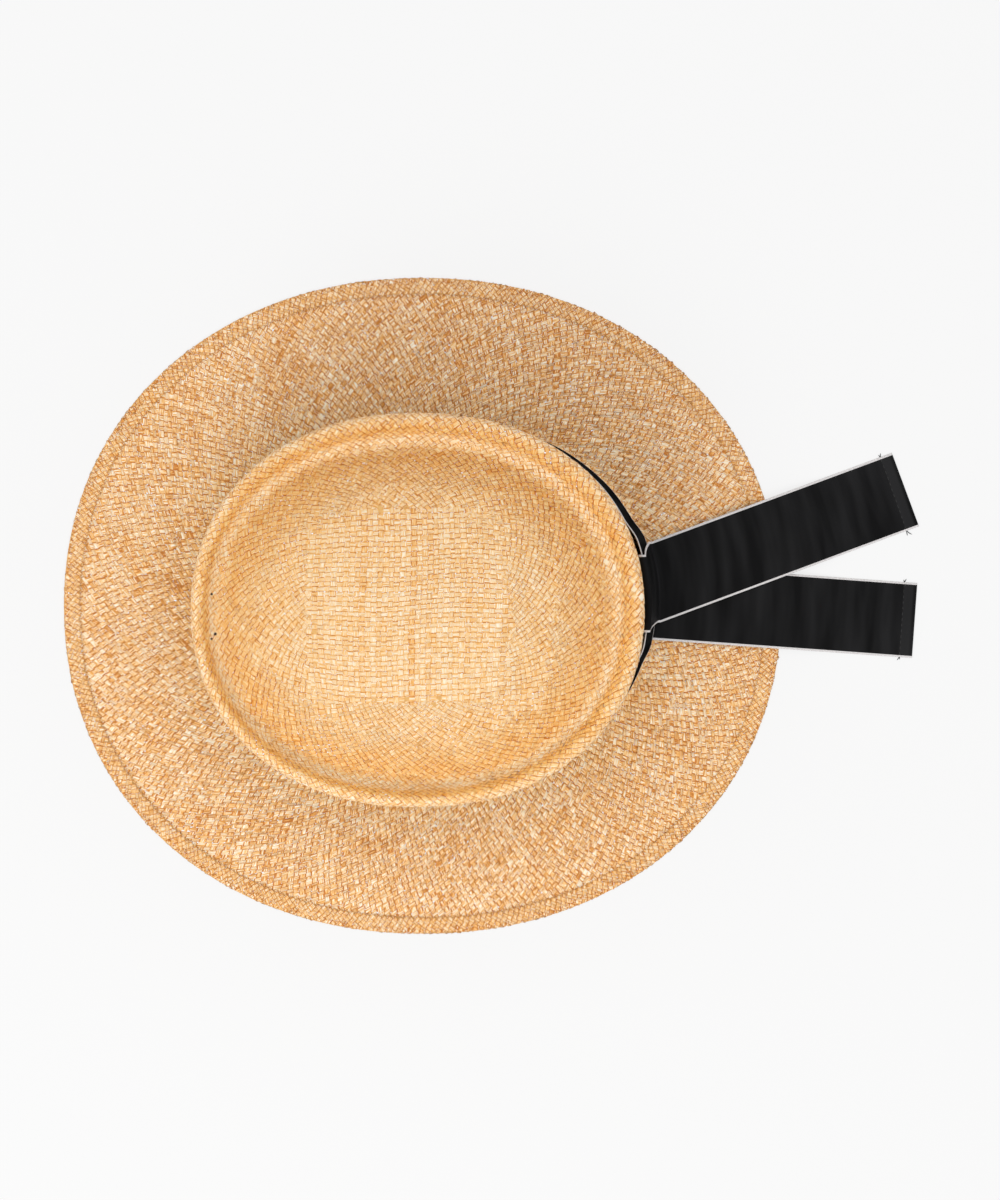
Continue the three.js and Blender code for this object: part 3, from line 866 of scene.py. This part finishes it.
def straw_strand_material():
    """Straw of many tones, tinted golden and deep by place, partly as painted shade, with pale specks of
    painted light and a few small holes with painted shade in them.
    """
    material, tree, shader = new_material("straw_strand")
    coordinates = node(tree, "ShaderNodeUVMap", uv_map="weave").outputs["UV"]
    across = math_node(tree, "ABSOLUTE", node(tree, "ShaderNodeSeparateXYZ", {0: coordinates}).outputs["Y"])
    tone, edge, fibre = strand_tones(tree, coordinates, across)
    colour = ramp_node(tree, tone, STRAW_STOPS)
    # golden and deep tints: partly the straw's own colour, partly painted shade
    colour = mixed(tree, attribute(tree, "golden_and_shade"), colour, GOLDEN_SHADE_TINT, "MULTIPLY")
    colour = mixed(tree, attribute(tree, "deep_and_shade"), colour, DEEP_SHADE_TINT, "MULTIPLY")
    colour = mixed(tree, painted_light_specks(tree, coordinates, across, edge), colour, PAINTED_LIGHT_COLOUR)
    bump = node(tree, "ShaderNodeBump", {"Height": fibre, "Strength": 1.0, "Distance": FIBRE_BUMP})
    set_inputs(tree, shader, {
        "Base Color": with_holes(tree, colour),
        "Normal": bump.outputs[0],
        "Roughness": STRAW_ROUGHNESS,
        "Specular IOR Level": STRAW_SPECULAR,
    })
    return material


def straw_core_material():
    """The sheet that shows only in the gaps between strands: brown straw, blotched; its dark brown is partly
    painted shade in the gaps, and its palest blotches are painted light coming through.
    """
    material, tree, shader = new_material("straw_core")
    place = node(tree, "ShaderNodeTexCoord").outputs["Object"]
    shade_and_light = noise(tree, place, CORE_SHADE_AND_LIGHT_SCALE, CORE_SHADE_AND_LIGHT_DETAIL)
    set_inputs(tree, shader, {"Base Color": ramp_node(tree, shade_and_light, CORE_SHADE_AND_LIGHT_STOPS), "Roughness": CORE_ROUGHNESS})
    return material


# Straw pieces

CORE_THICKNESS = 0.06
CORE_COLUMNS = 180
CORE_DOME_ROWS = 24
CORE_ROW_STEP = 2


def straw_core():
    """The formed sheet under the strands: the section's middle surface all the way round, as a thin wall."""
    dome_rows = np.linspace(RUN[0], DOME_END, CORE_DOME_ROWS)[:-1]
    rows = np.concatenate([dome_rows, RUN[DOME_ROWS - 1:-1:CORE_ROW_STEP]])
    angle = np.linspace(0, 2 * math.pi, CORE_COLUMNS, endpoint=False)
    points = sheet_point(angle[None, :], rows[:, None], 0.0)
    core = piece_from_arrays("straw_body", points.reshape(-1, 3), wrapped_faces(len(rows), CORE_COLUMNS))
    wall = core.modifiers.new("wall", "SOLIDIFY")
    wall.thickness = CORE_THICKNESS * MM
    wall.offset = 0
    core.data.materials.append(straw_core_material())
    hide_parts("straw_body")
    return core


def straw_pieces():
    """The core sheet, and the weave on it in four pieces from the crown's middle to the hem."""
    strand = straw_strand_material()
    rings = {name: ring_strands(*sizes, name == "dome_inner") for name, *sizes in RINGS}
    groups = {
        "straw_crown_top": square_strands() + rings["dome_inner"] + rings["dome_outer"] + rings["groove"],
        "straw_crown_wall": rings["wall"],
        "straw_brim": rings["brim_inner"] + rings["brim_middle"],
        "straw_brim_edge": rings["brim_outer"] + rings["hem"],
    }
    pieces = [straw_core()]
    for name, ways in groups.items():
        piece = joined(name, ways)
        piece.data.materials.append(strand)
        pieces.append(piece)
    for piece in pieces:
        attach(piece, "root")


# Ribbon

RIBBON_WIDTH = 34.5
RIBBON_THICK = 0.45
BAND_SEAT = 0.75
BAND_BOTTOM = FOOT_Z
BAND_TOP = BAND_BOTTOM + RIBBON_WIDTH
BAND_LIFT = 1.6
BAND_LIFT_ANGLES = (math.radians(13.5), math.radians(20))
FOLD_MID_Y = 5.5
FOLD_CLEAR = 0.3
LEG_STAND_OFF = {"lower": 0.95, "upper": 3.85}
BEND_RADIUS = 1.1
TAILS = {
    # middle of the foot (mm), heading, length (mm), how far it lies over what is under it (mm)
    "lower": (1.9, math.radians(-4.1), 119.5, 0.0),
    "upper": (10.8, math.radians(20.3), 120.2, 1.1),
}
TAIL_SEAT = 0.35
HEM_TOP_Z = 1.9
TAIL_DROOP = 34.0
LIFT_ENDS = (6.0, 40.0)
END_HEM = 6.0
THREAD_RADIUS = 0.19
LOOSE_ENDS = (
    # for each end of the streamer: side, reach past the edge (mm), drift along the ribbon (mm)
    ((-1, 1.4, 1.0), (-1, 1.0, -0.3), (1, 1.5, -0.9), (1, 1.1, 0.4)),
    ((-1, 2.4, 1.9), (-1, 2.2, -0.4), (1, 1.6, 0.8), (1, 1.2, -0.5)),
)
EDGE_WIDTH = 0.95

# Columns across the ribbon from edge bead to edge bead, and the share of its thickness at each
EDGE_COLUMNS = np.array([0.0, 0.2, 0.55, 0.95, 1.3])
EDGE_SHARES = np.array([0.3, 0.95, 1.3, 1.2, 1.0])
PLAIN_COLUMNS = 25
PLAIN_HALF = RIBBON_WIDTH / 2 - EDGE_COLUMNS[-1]
RIBBON_COLUMNS = np.concatenate([
    EDGE_COLUMNS - RIBBON_WIDTH / 2,
    np.linspace(-PLAIN_HALF, PLAIN_HALF, PLAIN_COLUMNS + 2)[1:-1],
    RIBBON_WIDTH / 2 - EDGE_COLUMNS[::-1],
])
RIBBON_SHARES = np.concatenate([EDGE_SHARES, np.ones(PLAIN_COLUMNS), EDGE_SHARES[::-1]])

# Rows along the ribbon, and the column on which the band's length is measured
BAND_ROWS = 540
BAND_LENGTH_COLUMN = 15
LEG_ROWS = 40
BEND_ROWS = 13
TAIL_ROWS = 120
TAIL_END_ROWS = 24
TAIL_END_SHARE = 0.94
TOP_FOLD_ROWS = 22

# Waves of the ribbon, and distances from its ends (mm) over which it grows blunt, thick and grey with painted
# sheen
BAND_RIPPLES = [
    # height (mm), waves round the crown, phase
    (0.06, 9, 0),
    (0.05, 23, 1),
]
TAIL_WAVES = [
    # length of a radian (mm), radians for each millimetre across, share of the stand-off taken as phase
    (7.3, 0.06, 0),
    (4.6, -0.09, 1),
]
TAIL_WAVE_HEIGHT = 0.03
TAIL_WAVE_START = (4.0, 20.0)
TAIL_WAVE_END = 14.0
BLUNT_END = (-0.1, 0.35)
END_HEM_STEP = (END_HEM + 0.4, END_HEM - 0.5)
END_HEM_THICKER = 1.6
# Distances over which the end hem's painted sheen grows
END_HEM_SHEEN = (0.9, 2.2)

# Stitches across each end hem
STITCHES = 13
STITCH_REACH = 15.6
STITCH_HALF = 0.9
STITCH_POINTS = 7
STITCH_INSET = 0.2
STITCH_LIFT = 0.62 * RIBBON_THICK
STITCH_ARCH = 0.12
THREAD_SIDES = 6
THREAD_CAP = np.array([[0, 1, 2, 3], [0, 3, 4, 5]])
THREAD_TAPER_POWER = 6
THREAD_LEAST = 0.01


def smoothstep(value, low, high):
    """0 before low, 1 past high, whichever is larger; between them s^2 (3 - 2 s), s the share of the way."""
    share = np.clip((value - low) / (high - low), 0, 1)
    return share * share * (3 - 2 * share)


def thick_strip(name, middle, over, under, along, end_hem, closed):
    """A ribbon from its middle surface [along, across]: both sides moved off it along its normal.

    The normal is the cross product of the steps along and across. The two sides join round both edges, and
    a closed ribbon's last row joins its first, while an open one is capped at both ends.
    """
    if closed:
        step = np.roll(middle, -1, axis=0) - np.roll(middle, 1, axis=0)
    else:
        step = np.gradient(middle, axis=0)
    normal = unit(np.cross(step, np.gradient(middle, axis=1)))
    shares = RIBBON_SHARES[None, :, None]
    sides = [middle + normal * over[:, None, None] * shares, middle - normal * under[:, None, None] * shares]
    points = np.concatenate([sides[0], sides[1][:, ::-1]], axis=1)
    across = np.concatenate([RIBBON_COLUMNS, RIBBON_COLUMNS[::-1]])
    uv = stacked(along[:, None], across[None, :])
    rows, columns = points.shape[:2]
    faces = wrapped_faces(rows, columns)
    last = (rows - 1) * columns
    if closed:
        around = np.arange(columns)
        beside = (around + 1) % columns
        closing = np.stack([last + around, around, beside, last + beside], axis=-1)
    else:
        around = np.arange(columns // 2 - 1)
        cap = np.stack([around, around + 1, columns - 2 - around, columns - 1 - around], axis=-1)
        closing = np.concatenate([cap, last + cap[:, ::-1]])
    # end_hem carries the end hems' painted sheen
    floats = {"end_hem": np.repeat(end_hem, columns)}
    faces = np.concatenate([faces, closing])
    return piece_from_arrays(name, points.reshape(-1, 3), faces, uv.reshape(-1, 2), floats)


def back_x(y, z):
    """X of the crown wall's back at y and z: mid + half_x (1 - |(y - mid_y) / half_y|^p)^(1/p)."""
    y, z = np.broadcast_arrays(y, z)
    oval = wall_ovals(z.ravel()).reshape(*z.shape, -1)
    within = 1 - np.abs((y - oval[..., MID_Y]) / oval[..., HALF_Y]) ** oval[..., POWER]
    return oval[..., MID_X] + oval[..., HALF_X] * within ** (1 / oval[..., POWER])


def ribbon_band():
    """The band: wall oval at each height, moved out by the seat and, at the back, by the streamer there."""
    angle = np.linspace(0, 2 * math.pi, BAND_ROWS, endpoint=False)
    fold_angle = math.atan2(FOLD_MID_Y, float(back_x(FOLD_MID_Y, BAND_TOP)))
    away = np.abs(np.arctan2(np.sin(angle - fold_angle), np.cos(angle - fold_angle)))
    out = BAND_SEAT + BAND_LIFT * (1 - smoothstep(away, *BAND_LIFT_ANGLES))
    out = out + sum(height * np.sin(count * angle + phase) for height, count, phase in BAND_RIPPLES)
    height = (BAND_BOTTOM + BAND_TOP) / 2 + RIBBON_COLUMNS
    oval = wall_ovals(height)
    reach = oval_reach(angle[:, None], oval[None, :, :]) + out[:, None]
    x = oval[:, MID_X] + reach * np.cos(angle)[:, None]
    y = oval[:, MID_Y] + reach * np.sin(angle)[:, None]
    middle = stacked(x, y, height[None, :])
    half = np.full(len(angle), RIBBON_THICK / 2)
    along = summed(np.linalg.norm(np.diff(middle[:, BAND_LENGTH_COLUMN], axis=0), axis=1))
    return thick_strip("ribbon_band", middle, half, half, along, np.zeros(len(along)), True), along[-1]


def past_edge(x, y):
    """Distance past the brim's edge, less than 0 on the brim."""
    out_x = x - BRIM_EDGE[MID_X]
    out_y = y - BRIM_EDGE[MID_Y]
    return np.hypot(out_x, out_y) - oval_reach(np.arctan2(out_y, out_x), BRIM_EDGE)


def leg_and_tail(which):
    """One leg of the fold and the tail that runs on from it, as rows from the fold down and out to the end.

    The leg follows the crown's back at its own stand-off, a quarter circle turns it out on to the brim, and
    the tail runs straight ahead: it lies on the brim, crosses the hem and droops by a smoothstep to the
    floor. The height of its waves fades in from the foot and out to the end by smoothsteps.
    """
    foot_mid, heading, length, lift = TAILS[which]
    stand_off = LEG_STAND_OFF[which]
    half = RIBBON_THICK / 2
    foot_z = BRIM_TOP_AT_CROWN + TAIL_SEAT + half + lift
    edge_z = HEM_TOP_Z + half + lift
    bottom = foot_z + BEND_RADIUS
    top = BAND_TOP + FOLD_CLEAR
    across = RIBBON_COLUMNS[None, :]

    z = np.linspace(top, bottom, LEG_ROWS)[:, None]
    down = (top - z) / (top - bottom)
    widening = 1 / math.cos(heading) - 1
    y = FOLD_MID_Y + (foot_mid - FOLD_MID_Y) * down + across * (1 + widening * down)
    leg = stacked(back_x(y, z) + stand_off, y, z)
    turn = np.linspace(0, math.pi / 2, BEND_ROWS)[1:, None]
    y = foot_mid + across * (1 + widening)
    x = back_x(y, FOOT_Z) + stand_off + BEND_RADIUS * (1 - np.cos(turn))
    bend = stacked(x, y, bottom - BEND_RADIUS * np.sin(turn))

    forward = np.array([math.cos(heading), math.sin(heading)])
    start = bend[-1, :, :2]
    ahead = (start - start[len(start) // 2]) @ forward
    share = np.linspace(0, TAIL_END_SHARE, TAIL_ROWS)[1:]
    share = np.concatenate([share, np.linspace(TAIL_END_SHARE, 1, TAIL_END_ROWS)[1:]])
    run = share[:, None] * (length - ahead)
    x = start[:, 0] + run * forward[0]
    y = start[:, 1] + run * forward[1]
    past = past_edge(x, y)
    on_brim = np.clip(1 - past / past_edge(start[:, 0], start[:, 1]), 0, 1)
    settled = half + lift * (1 - smoothstep(past, *LIFT_ENDS))
    droop = smoothstep(past, 0, TAIL_DROOP)
    z = (foot_z + (edge_z - foot_z) * on_brim) * (1 - droop) + settled * droop
    waves = sum(1 + np.sin(run / radian + lean * across + phase * stand_off)
                for radian, lean, phase in TAIL_WAVES)
    waves = waves * smoothstep(run, *TAIL_WAVE_START) * smoothstep(run, length, length - TAIL_WAVE_END)
    z = z + TAIL_WAVE_HEIGHT * waves
    return np.concatenate([leg, bend, stacked(x, y, z)])


def ribbon_streamer():
    """One strip: lower tail, up behind the band, over it in a half circle, down its front, upper tail."""
    lower = leg_and_tail("lower")[::-1]
    upper = leg_and_tail("upper")
    turn = np.linspace(math.pi, 0, TOP_FOLD_ROWS)[1:-1, None]
    radius = (LEG_STAND_OFF["upper"] - LEG_STAND_OFF["lower"]) / 2
    x = (lower[-1, :, 0] + upper[0, :, 0]) / 2 + radius * np.cos(turn)
    z = lower[-1, :, 2] + radius * np.sin(turn)
    fold = stacked(x, lower[-1, :, 1], z)
    middle = np.concatenate([lower, fold, upper])
    along = summed(np.linalg.norm(np.diff(middle[:, middle.shape[1] // 2], axis=0), axis=1))
    from_end = np.minimum(along, along[-1] - along)
    end_hem = smoothstep(from_end, *END_HEM_STEP)
    thin = RIBBON_THICK / 2 * smoothstep(from_end, *BLUNT_END)
    thick = thin * (1 + END_HEM_THICKER * end_hem)
    second = along > along[-1] / 2
    over = np.where(second, thick, thin)
    under = np.where(second, thin, thick)
    # painted sheen: the end hems a little greyer
    painted_sheen = end_hem * smoothstep(from_end, *END_HEM_SHEEN)
    return thick_strip("ribbon_streamer", middle, over, under, along, painted_sheen, False), middle, along


def threads(name, paths):
    """Round threads: each path's points with a circle round them, square to the path, closed at both ends.

    The circle's radius is the thread's times sqrt(1 - share^6), with share from -1 to 1 along the path.
    """
    step = unit(np.gradient(paths, axis=1))
    beside = unit(np.cross(step, np.array([0.0, 0.0, 1.0])))
    above = np.cross(beside, step)
    turn = np.linspace(0, 2 * math.pi, THREAD_SIDES, endpoint=False)[:, None]
    share = np.linspace(-1, 1, paths.shape[1])
    taper = THREAD_RADIUS * np.sqrt(np.maximum(1 - share ** THREAD_TAPER_POWER, THREAD_LEAST))
    ring = beside[:, :, None, :] * np.cos(turn) + above[:, :, None, :] * np.sin(turn)
    points = paths[:, :, None, :] + taper[None, :, None, None] * ring
    count, rows = paths.shape[:2]
    first = (np.arange(count) * rows * THREAD_SIDES)[:, None, None]
    last_cap = (rows - 1) * THREAD_SIDES + THREAD_CAP[:, ::-1]
    one = np.concatenate([wrapped_faces(rows, THREAD_SIDES), THREAD_CAP, last_cap])
    faces = (one[None] + first).reshape(-1, 4)
    return piece_from_arrays(name, points.reshape(-1, 3), faces)


def ribbon_stitches(middle, along):
    """A row of stitches across each end hem, each an arch over the ribbon, and loose ends at the edges.

    A loose end starts on the stitch line near an edge, runs out past it and bends along the ribbon by the
    square of its share of the way.
    """
    columns = np.linspace(-STITCH_REACH, STITCH_REACH, STITCHES)
    share = np.linspace(-1, 1, STITCH_POINTS)
    from_end = END_HEM - STITCH_INSET
    paths = []
    for at, loose_ends in zip((from_end, along[-1] - from_end), LOOSE_ENDS):
        row = np.interp(at, along, np.arange(len(along)))
        low = int(row)
        line = middle[low] * (1 - row + low) + middle[low + 1] * (row - low)
        across = columns[:, None] + STITCH_HALF * share[None, :]
        path = np.stack([np.interp(across, RIBBON_COLUMNS, line[:, k]) for k in range(3)], axis=-1)
        path[..., 2] += STITCH_LIFT + STITCH_ARCH * (1 - share ** 2)
        paths.append(path)
        ahead = unit(middle[low + 1, 0] - middle[low, 0])
        beside = unit(line[-1] - line[0])
        side, reach, drift = np.array(loose_ends).T[:, :, None, None]
        start = np.where(side > 0, line[-1], line[0]) - side * beside
        out = ((share + 1) / 2)[None, :, None]
        loose = start + side * beside * (1 + reach) * out + ahead * drift * out ** 2
        loose[..., 2] += STITCH_LIFT * (1 - out[..., 0])
        paths.append(loose)
    return threads("ribbon_stitches", np.concatenate(paths))


# Ribbon finish: colours by noise, then scales, bumps (m) and gloss
# Satin colours: faint grey streaks of painted sheen
SATIN_SHEEN_STOPS = [(0.35, (0.0055, 0.0055, 0.0058)), (0.7, (0.0150, 0.0150, 0.0158))]
PALE_EDGE_STOPS = [(0.3, (0.42, 0.40, 0.40)), (0.7, (0.78, 0.76, 0.76))]
THREAD_STOPS = [(0.3, (0.006, 0.006, 0.006)), (0.7, (0.02, 0.02, 0.021))]
# Painted sheen on the end hems
END_HEM_SHEEN_COLOUR = (0.024, 0.024, 0.025, 1)
END_HEM_SHEEN_SHARE = 0.6
SHEEN_STREAK_SCALES = (0.12, 0.018, 1.0)
STREAK_BUMP = 2.0
PALE_EDGE_SCALE = 2.5
RIB_TURN = 13.0
RIB_STRENGTH = 0.25
RIB_BUMP = 0.00012
SATIN_ROUGHNESS = 0.42
PALE_EDGE_ROUGHNESS = 0.75
BAND_SPECULAR = 0.0
STREAMER_SPECULAR = 0.03
THREAD_TWIST_SCALE = 3000.0
THREAD_ROUGHNESS = 0.7


def ribbon_material(name, specular):
    """Black satin with faint grey streaks of painted sheen across it, a greyer painted sheen on the end hems,
    fine ribs, and a pale woven edge along both sides.
    """
    material, tree, shader = new_material(name)
    coordinates = node(tree, "ShaderNodeUVMap", uv_map="weave").outputs["UV"]
    split = node(tree, "ShaderNodeSeparateXYZ", {"Vector": coordinates})
    across = math_node(tree, "ABSOLUTE", split.outputs["Y"])
    edge = math_node(tree, "GREATER_THAN", across, RIBBON_WIDTH / 2 - EDGE_WIDTH)
    # painted sheen: grey streaks across the satin
    sheen_streak = stretched_noise(tree, coordinates, SHEEN_STREAK_SCALES)
    # painted sheen on the end hems
    painted_sheen = math_node(tree, "MULTIPLY", attribute(tree, "end_hem"), END_HEM_SHEEN_SHARE)
    satin = mixed(tree, painted_sheen, ramp_node(tree, sheen_streak, SATIN_SHEEN_STOPS), END_HEM_SHEEN_COLOUR)
    pale = ramp_node(tree, noise(tree, coordinates, PALE_EDGE_SCALE, 2.0), PALE_EDGE_STOPS)
    ribs = math_node(tree, "SINE", math_node(tree, "MULTIPLY", split.outputs["X"], RIB_TURN))
    uneven = math_node(tree, "MULTIPLY_ADD", sheen_streak, STREAK_BUMP, ribs)
    bump = node(tree, "ShaderNodeBump", {"Height": uneven, "Strength": RIB_STRENGTH, "Distance": RIB_BUMP})
    set_inputs(tree, shader, {
        "Base Color": mixed(tree, edge, satin, pale),
        "Normal": bump.outputs[0],
        "Roughness": ranged(tree, edge, 0.0, 1.0, SATIN_ROUGHNESS, PALE_EDGE_ROUGHNESS),
        "Specular IOR Level": specular,
    })
    return material


def thread_material():
    """Black thread with fine paler flecks from its twist."""
    material, tree, shader = new_material("black_thread")
    place = node(tree, "ShaderNodeTexCoord").outputs["Object"]
    twist = noise(tree, place, THREAD_TWIST_SCALE, 2.0)
    colour = ramp_node(tree, twist, THREAD_STOPS)
    set_inputs(tree, shader, {"Base Color": colour, "Roughness": THREAD_ROUGHNESS})
    return material


def ribbon_pieces():
    """The band, the streamer and the stitches in its end hems."""
    band, band_length = ribbon_band()
    streamer, middle, along = ribbon_streamer()
    stitches = ribbon_stitches(middle, along)
    band.data.materials.append(ribbon_material("band_satin", BAND_SPECULAR))
    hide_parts("ribbon_band")
    streamer.data.materials.append(ribbon_material("streamer_satin", STREAMER_SPECULAR))
    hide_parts("ribbon_streamer")
    stitches.data.materials.append(thread_material())
    for piece in (band, streamer, stitches):
        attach(piece, "root")


# Stage

CAMERA_OVER = (3.87, 2.65)
CAMERA_HEIGHT = 1600.0
CAMERA_LENS = 104.94
CAMERA_SENSOR = 36.0
CAMERA_SEES = 50.0
FLOOR_HALF = 4000.0
FLOOR_GAP = 0.02
FLOOR_COLOUR = (0.15, 0.15, 0.15, 1)
FLOOR_GLOW = 0.76
FLOOR_ROUGHNESS = 0.9
FLOOR_SPECULAR = 0.1
WHITE = (1, 1, 1, 1)
SKY_BRIGHT_SIDE = (0.10, 0.70, 0.70)
SKY_DIM = 0.95
SKY_BRIGHT = 1.05
SKY_REACH = (-0.6, 1.0)
WINDOW_PLACE = (-0.36, -0.76, 0.94)
WINDOW_SIZE = 0.7
WINDOW_POWER = 5.0


def pale_floor():
    """A square round the hat, just under the surface that it rests on, that glows a little."""
    corners = np.array([[-1, -1, 0], [1, -1, 0], [1, 1, 0], [-1, 1, 0]]) * FLOOR_HALF
    corners = corners - [HAT_LINE_X, 0, FLOOR_GAP]
    floor = piece_from_arrays("floor", corners, np.array([[0, 1, 2, 3]]))
    material, tree, shader = new_material("pale_floor")
    set_inputs(tree, shader, {
        "Base Color": FLOOR_COLOUR,
        "Emission Color": WHITE,
        "Emission Strength": FLOOR_GLOW,
        "Roughness": FLOOR_ROUGHNESS,
        "Specular IOR Level": FLOOR_SPECULAR,
    })
    floor.data.materials.append(material)


def sky_and_window(scene):
    """A white sky, slightly brighter at the far side, and one broad soft light from the front left."""
    world = bpy.data.worlds.new("sky")
    world.use_nodes = True
    tree = world.node_tree
    direction = node(tree, "ShaderNodeTexCoord").outputs["Generated"]
    towards = node(tree, "ShaderNodeVectorMath", {0: direction, 1: SKY_BRIGHT_SIDE}, operation="DOT_PRODUCT")
    strength = ranged(tree, towards.outputs["Value"], *SKY_REACH, SKY_DIM, SKY_BRIGHT)
    set_inputs(tree, tree.nodes["Background"], {"Color": WHITE, "Strength": strength})
    scene.world = world
    window = bpy.data.lights.new("window", "AREA")
    window.shape = "DISK"
    window.size = WINDOW_SIZE
    window.energy = WINDOW_POWER
    lamp = bpy.data.objects.new("window", window)
    lamp.location = WINDOW_PLACE
    lamp.rotation_euler = (-Vector(WINDOW_PLACE)).to_track_quat("-Z", "Y").to_euler()
    scene.collection.objects.link(lamp)


def camera_above(scene):
    """The camera, looking straight down."""
    camera = bpy.data.cameras.new("camera")
    camera.lens = CAMERA_LENS
    camera.sensor_fit = "AUTO"
    camera.sensor_width = CAMERA_SENSOR
    camera.clip_end = CAMERA_SEES
    viewer = bpy.data.objects.new("camera", camera)
    viewer.location = (CAMERA_OVER[0] * MM, CAMERA_OVER[1] * MM, CAMERA_HEIGHT * MM)
    scene.collection.objects.link(viewer)
    scene.camera = viewer


def stage():
    """The floor, the light and the camera, with colours shown as they are."""
    scene = bpy.context.scene
    scene.view_settings.view_transform = "Standard"
    pale_floor()
    sky_and_window(scene)
    camera_above(scene)


stage()
straw_pieces()
ribbon_pieces()
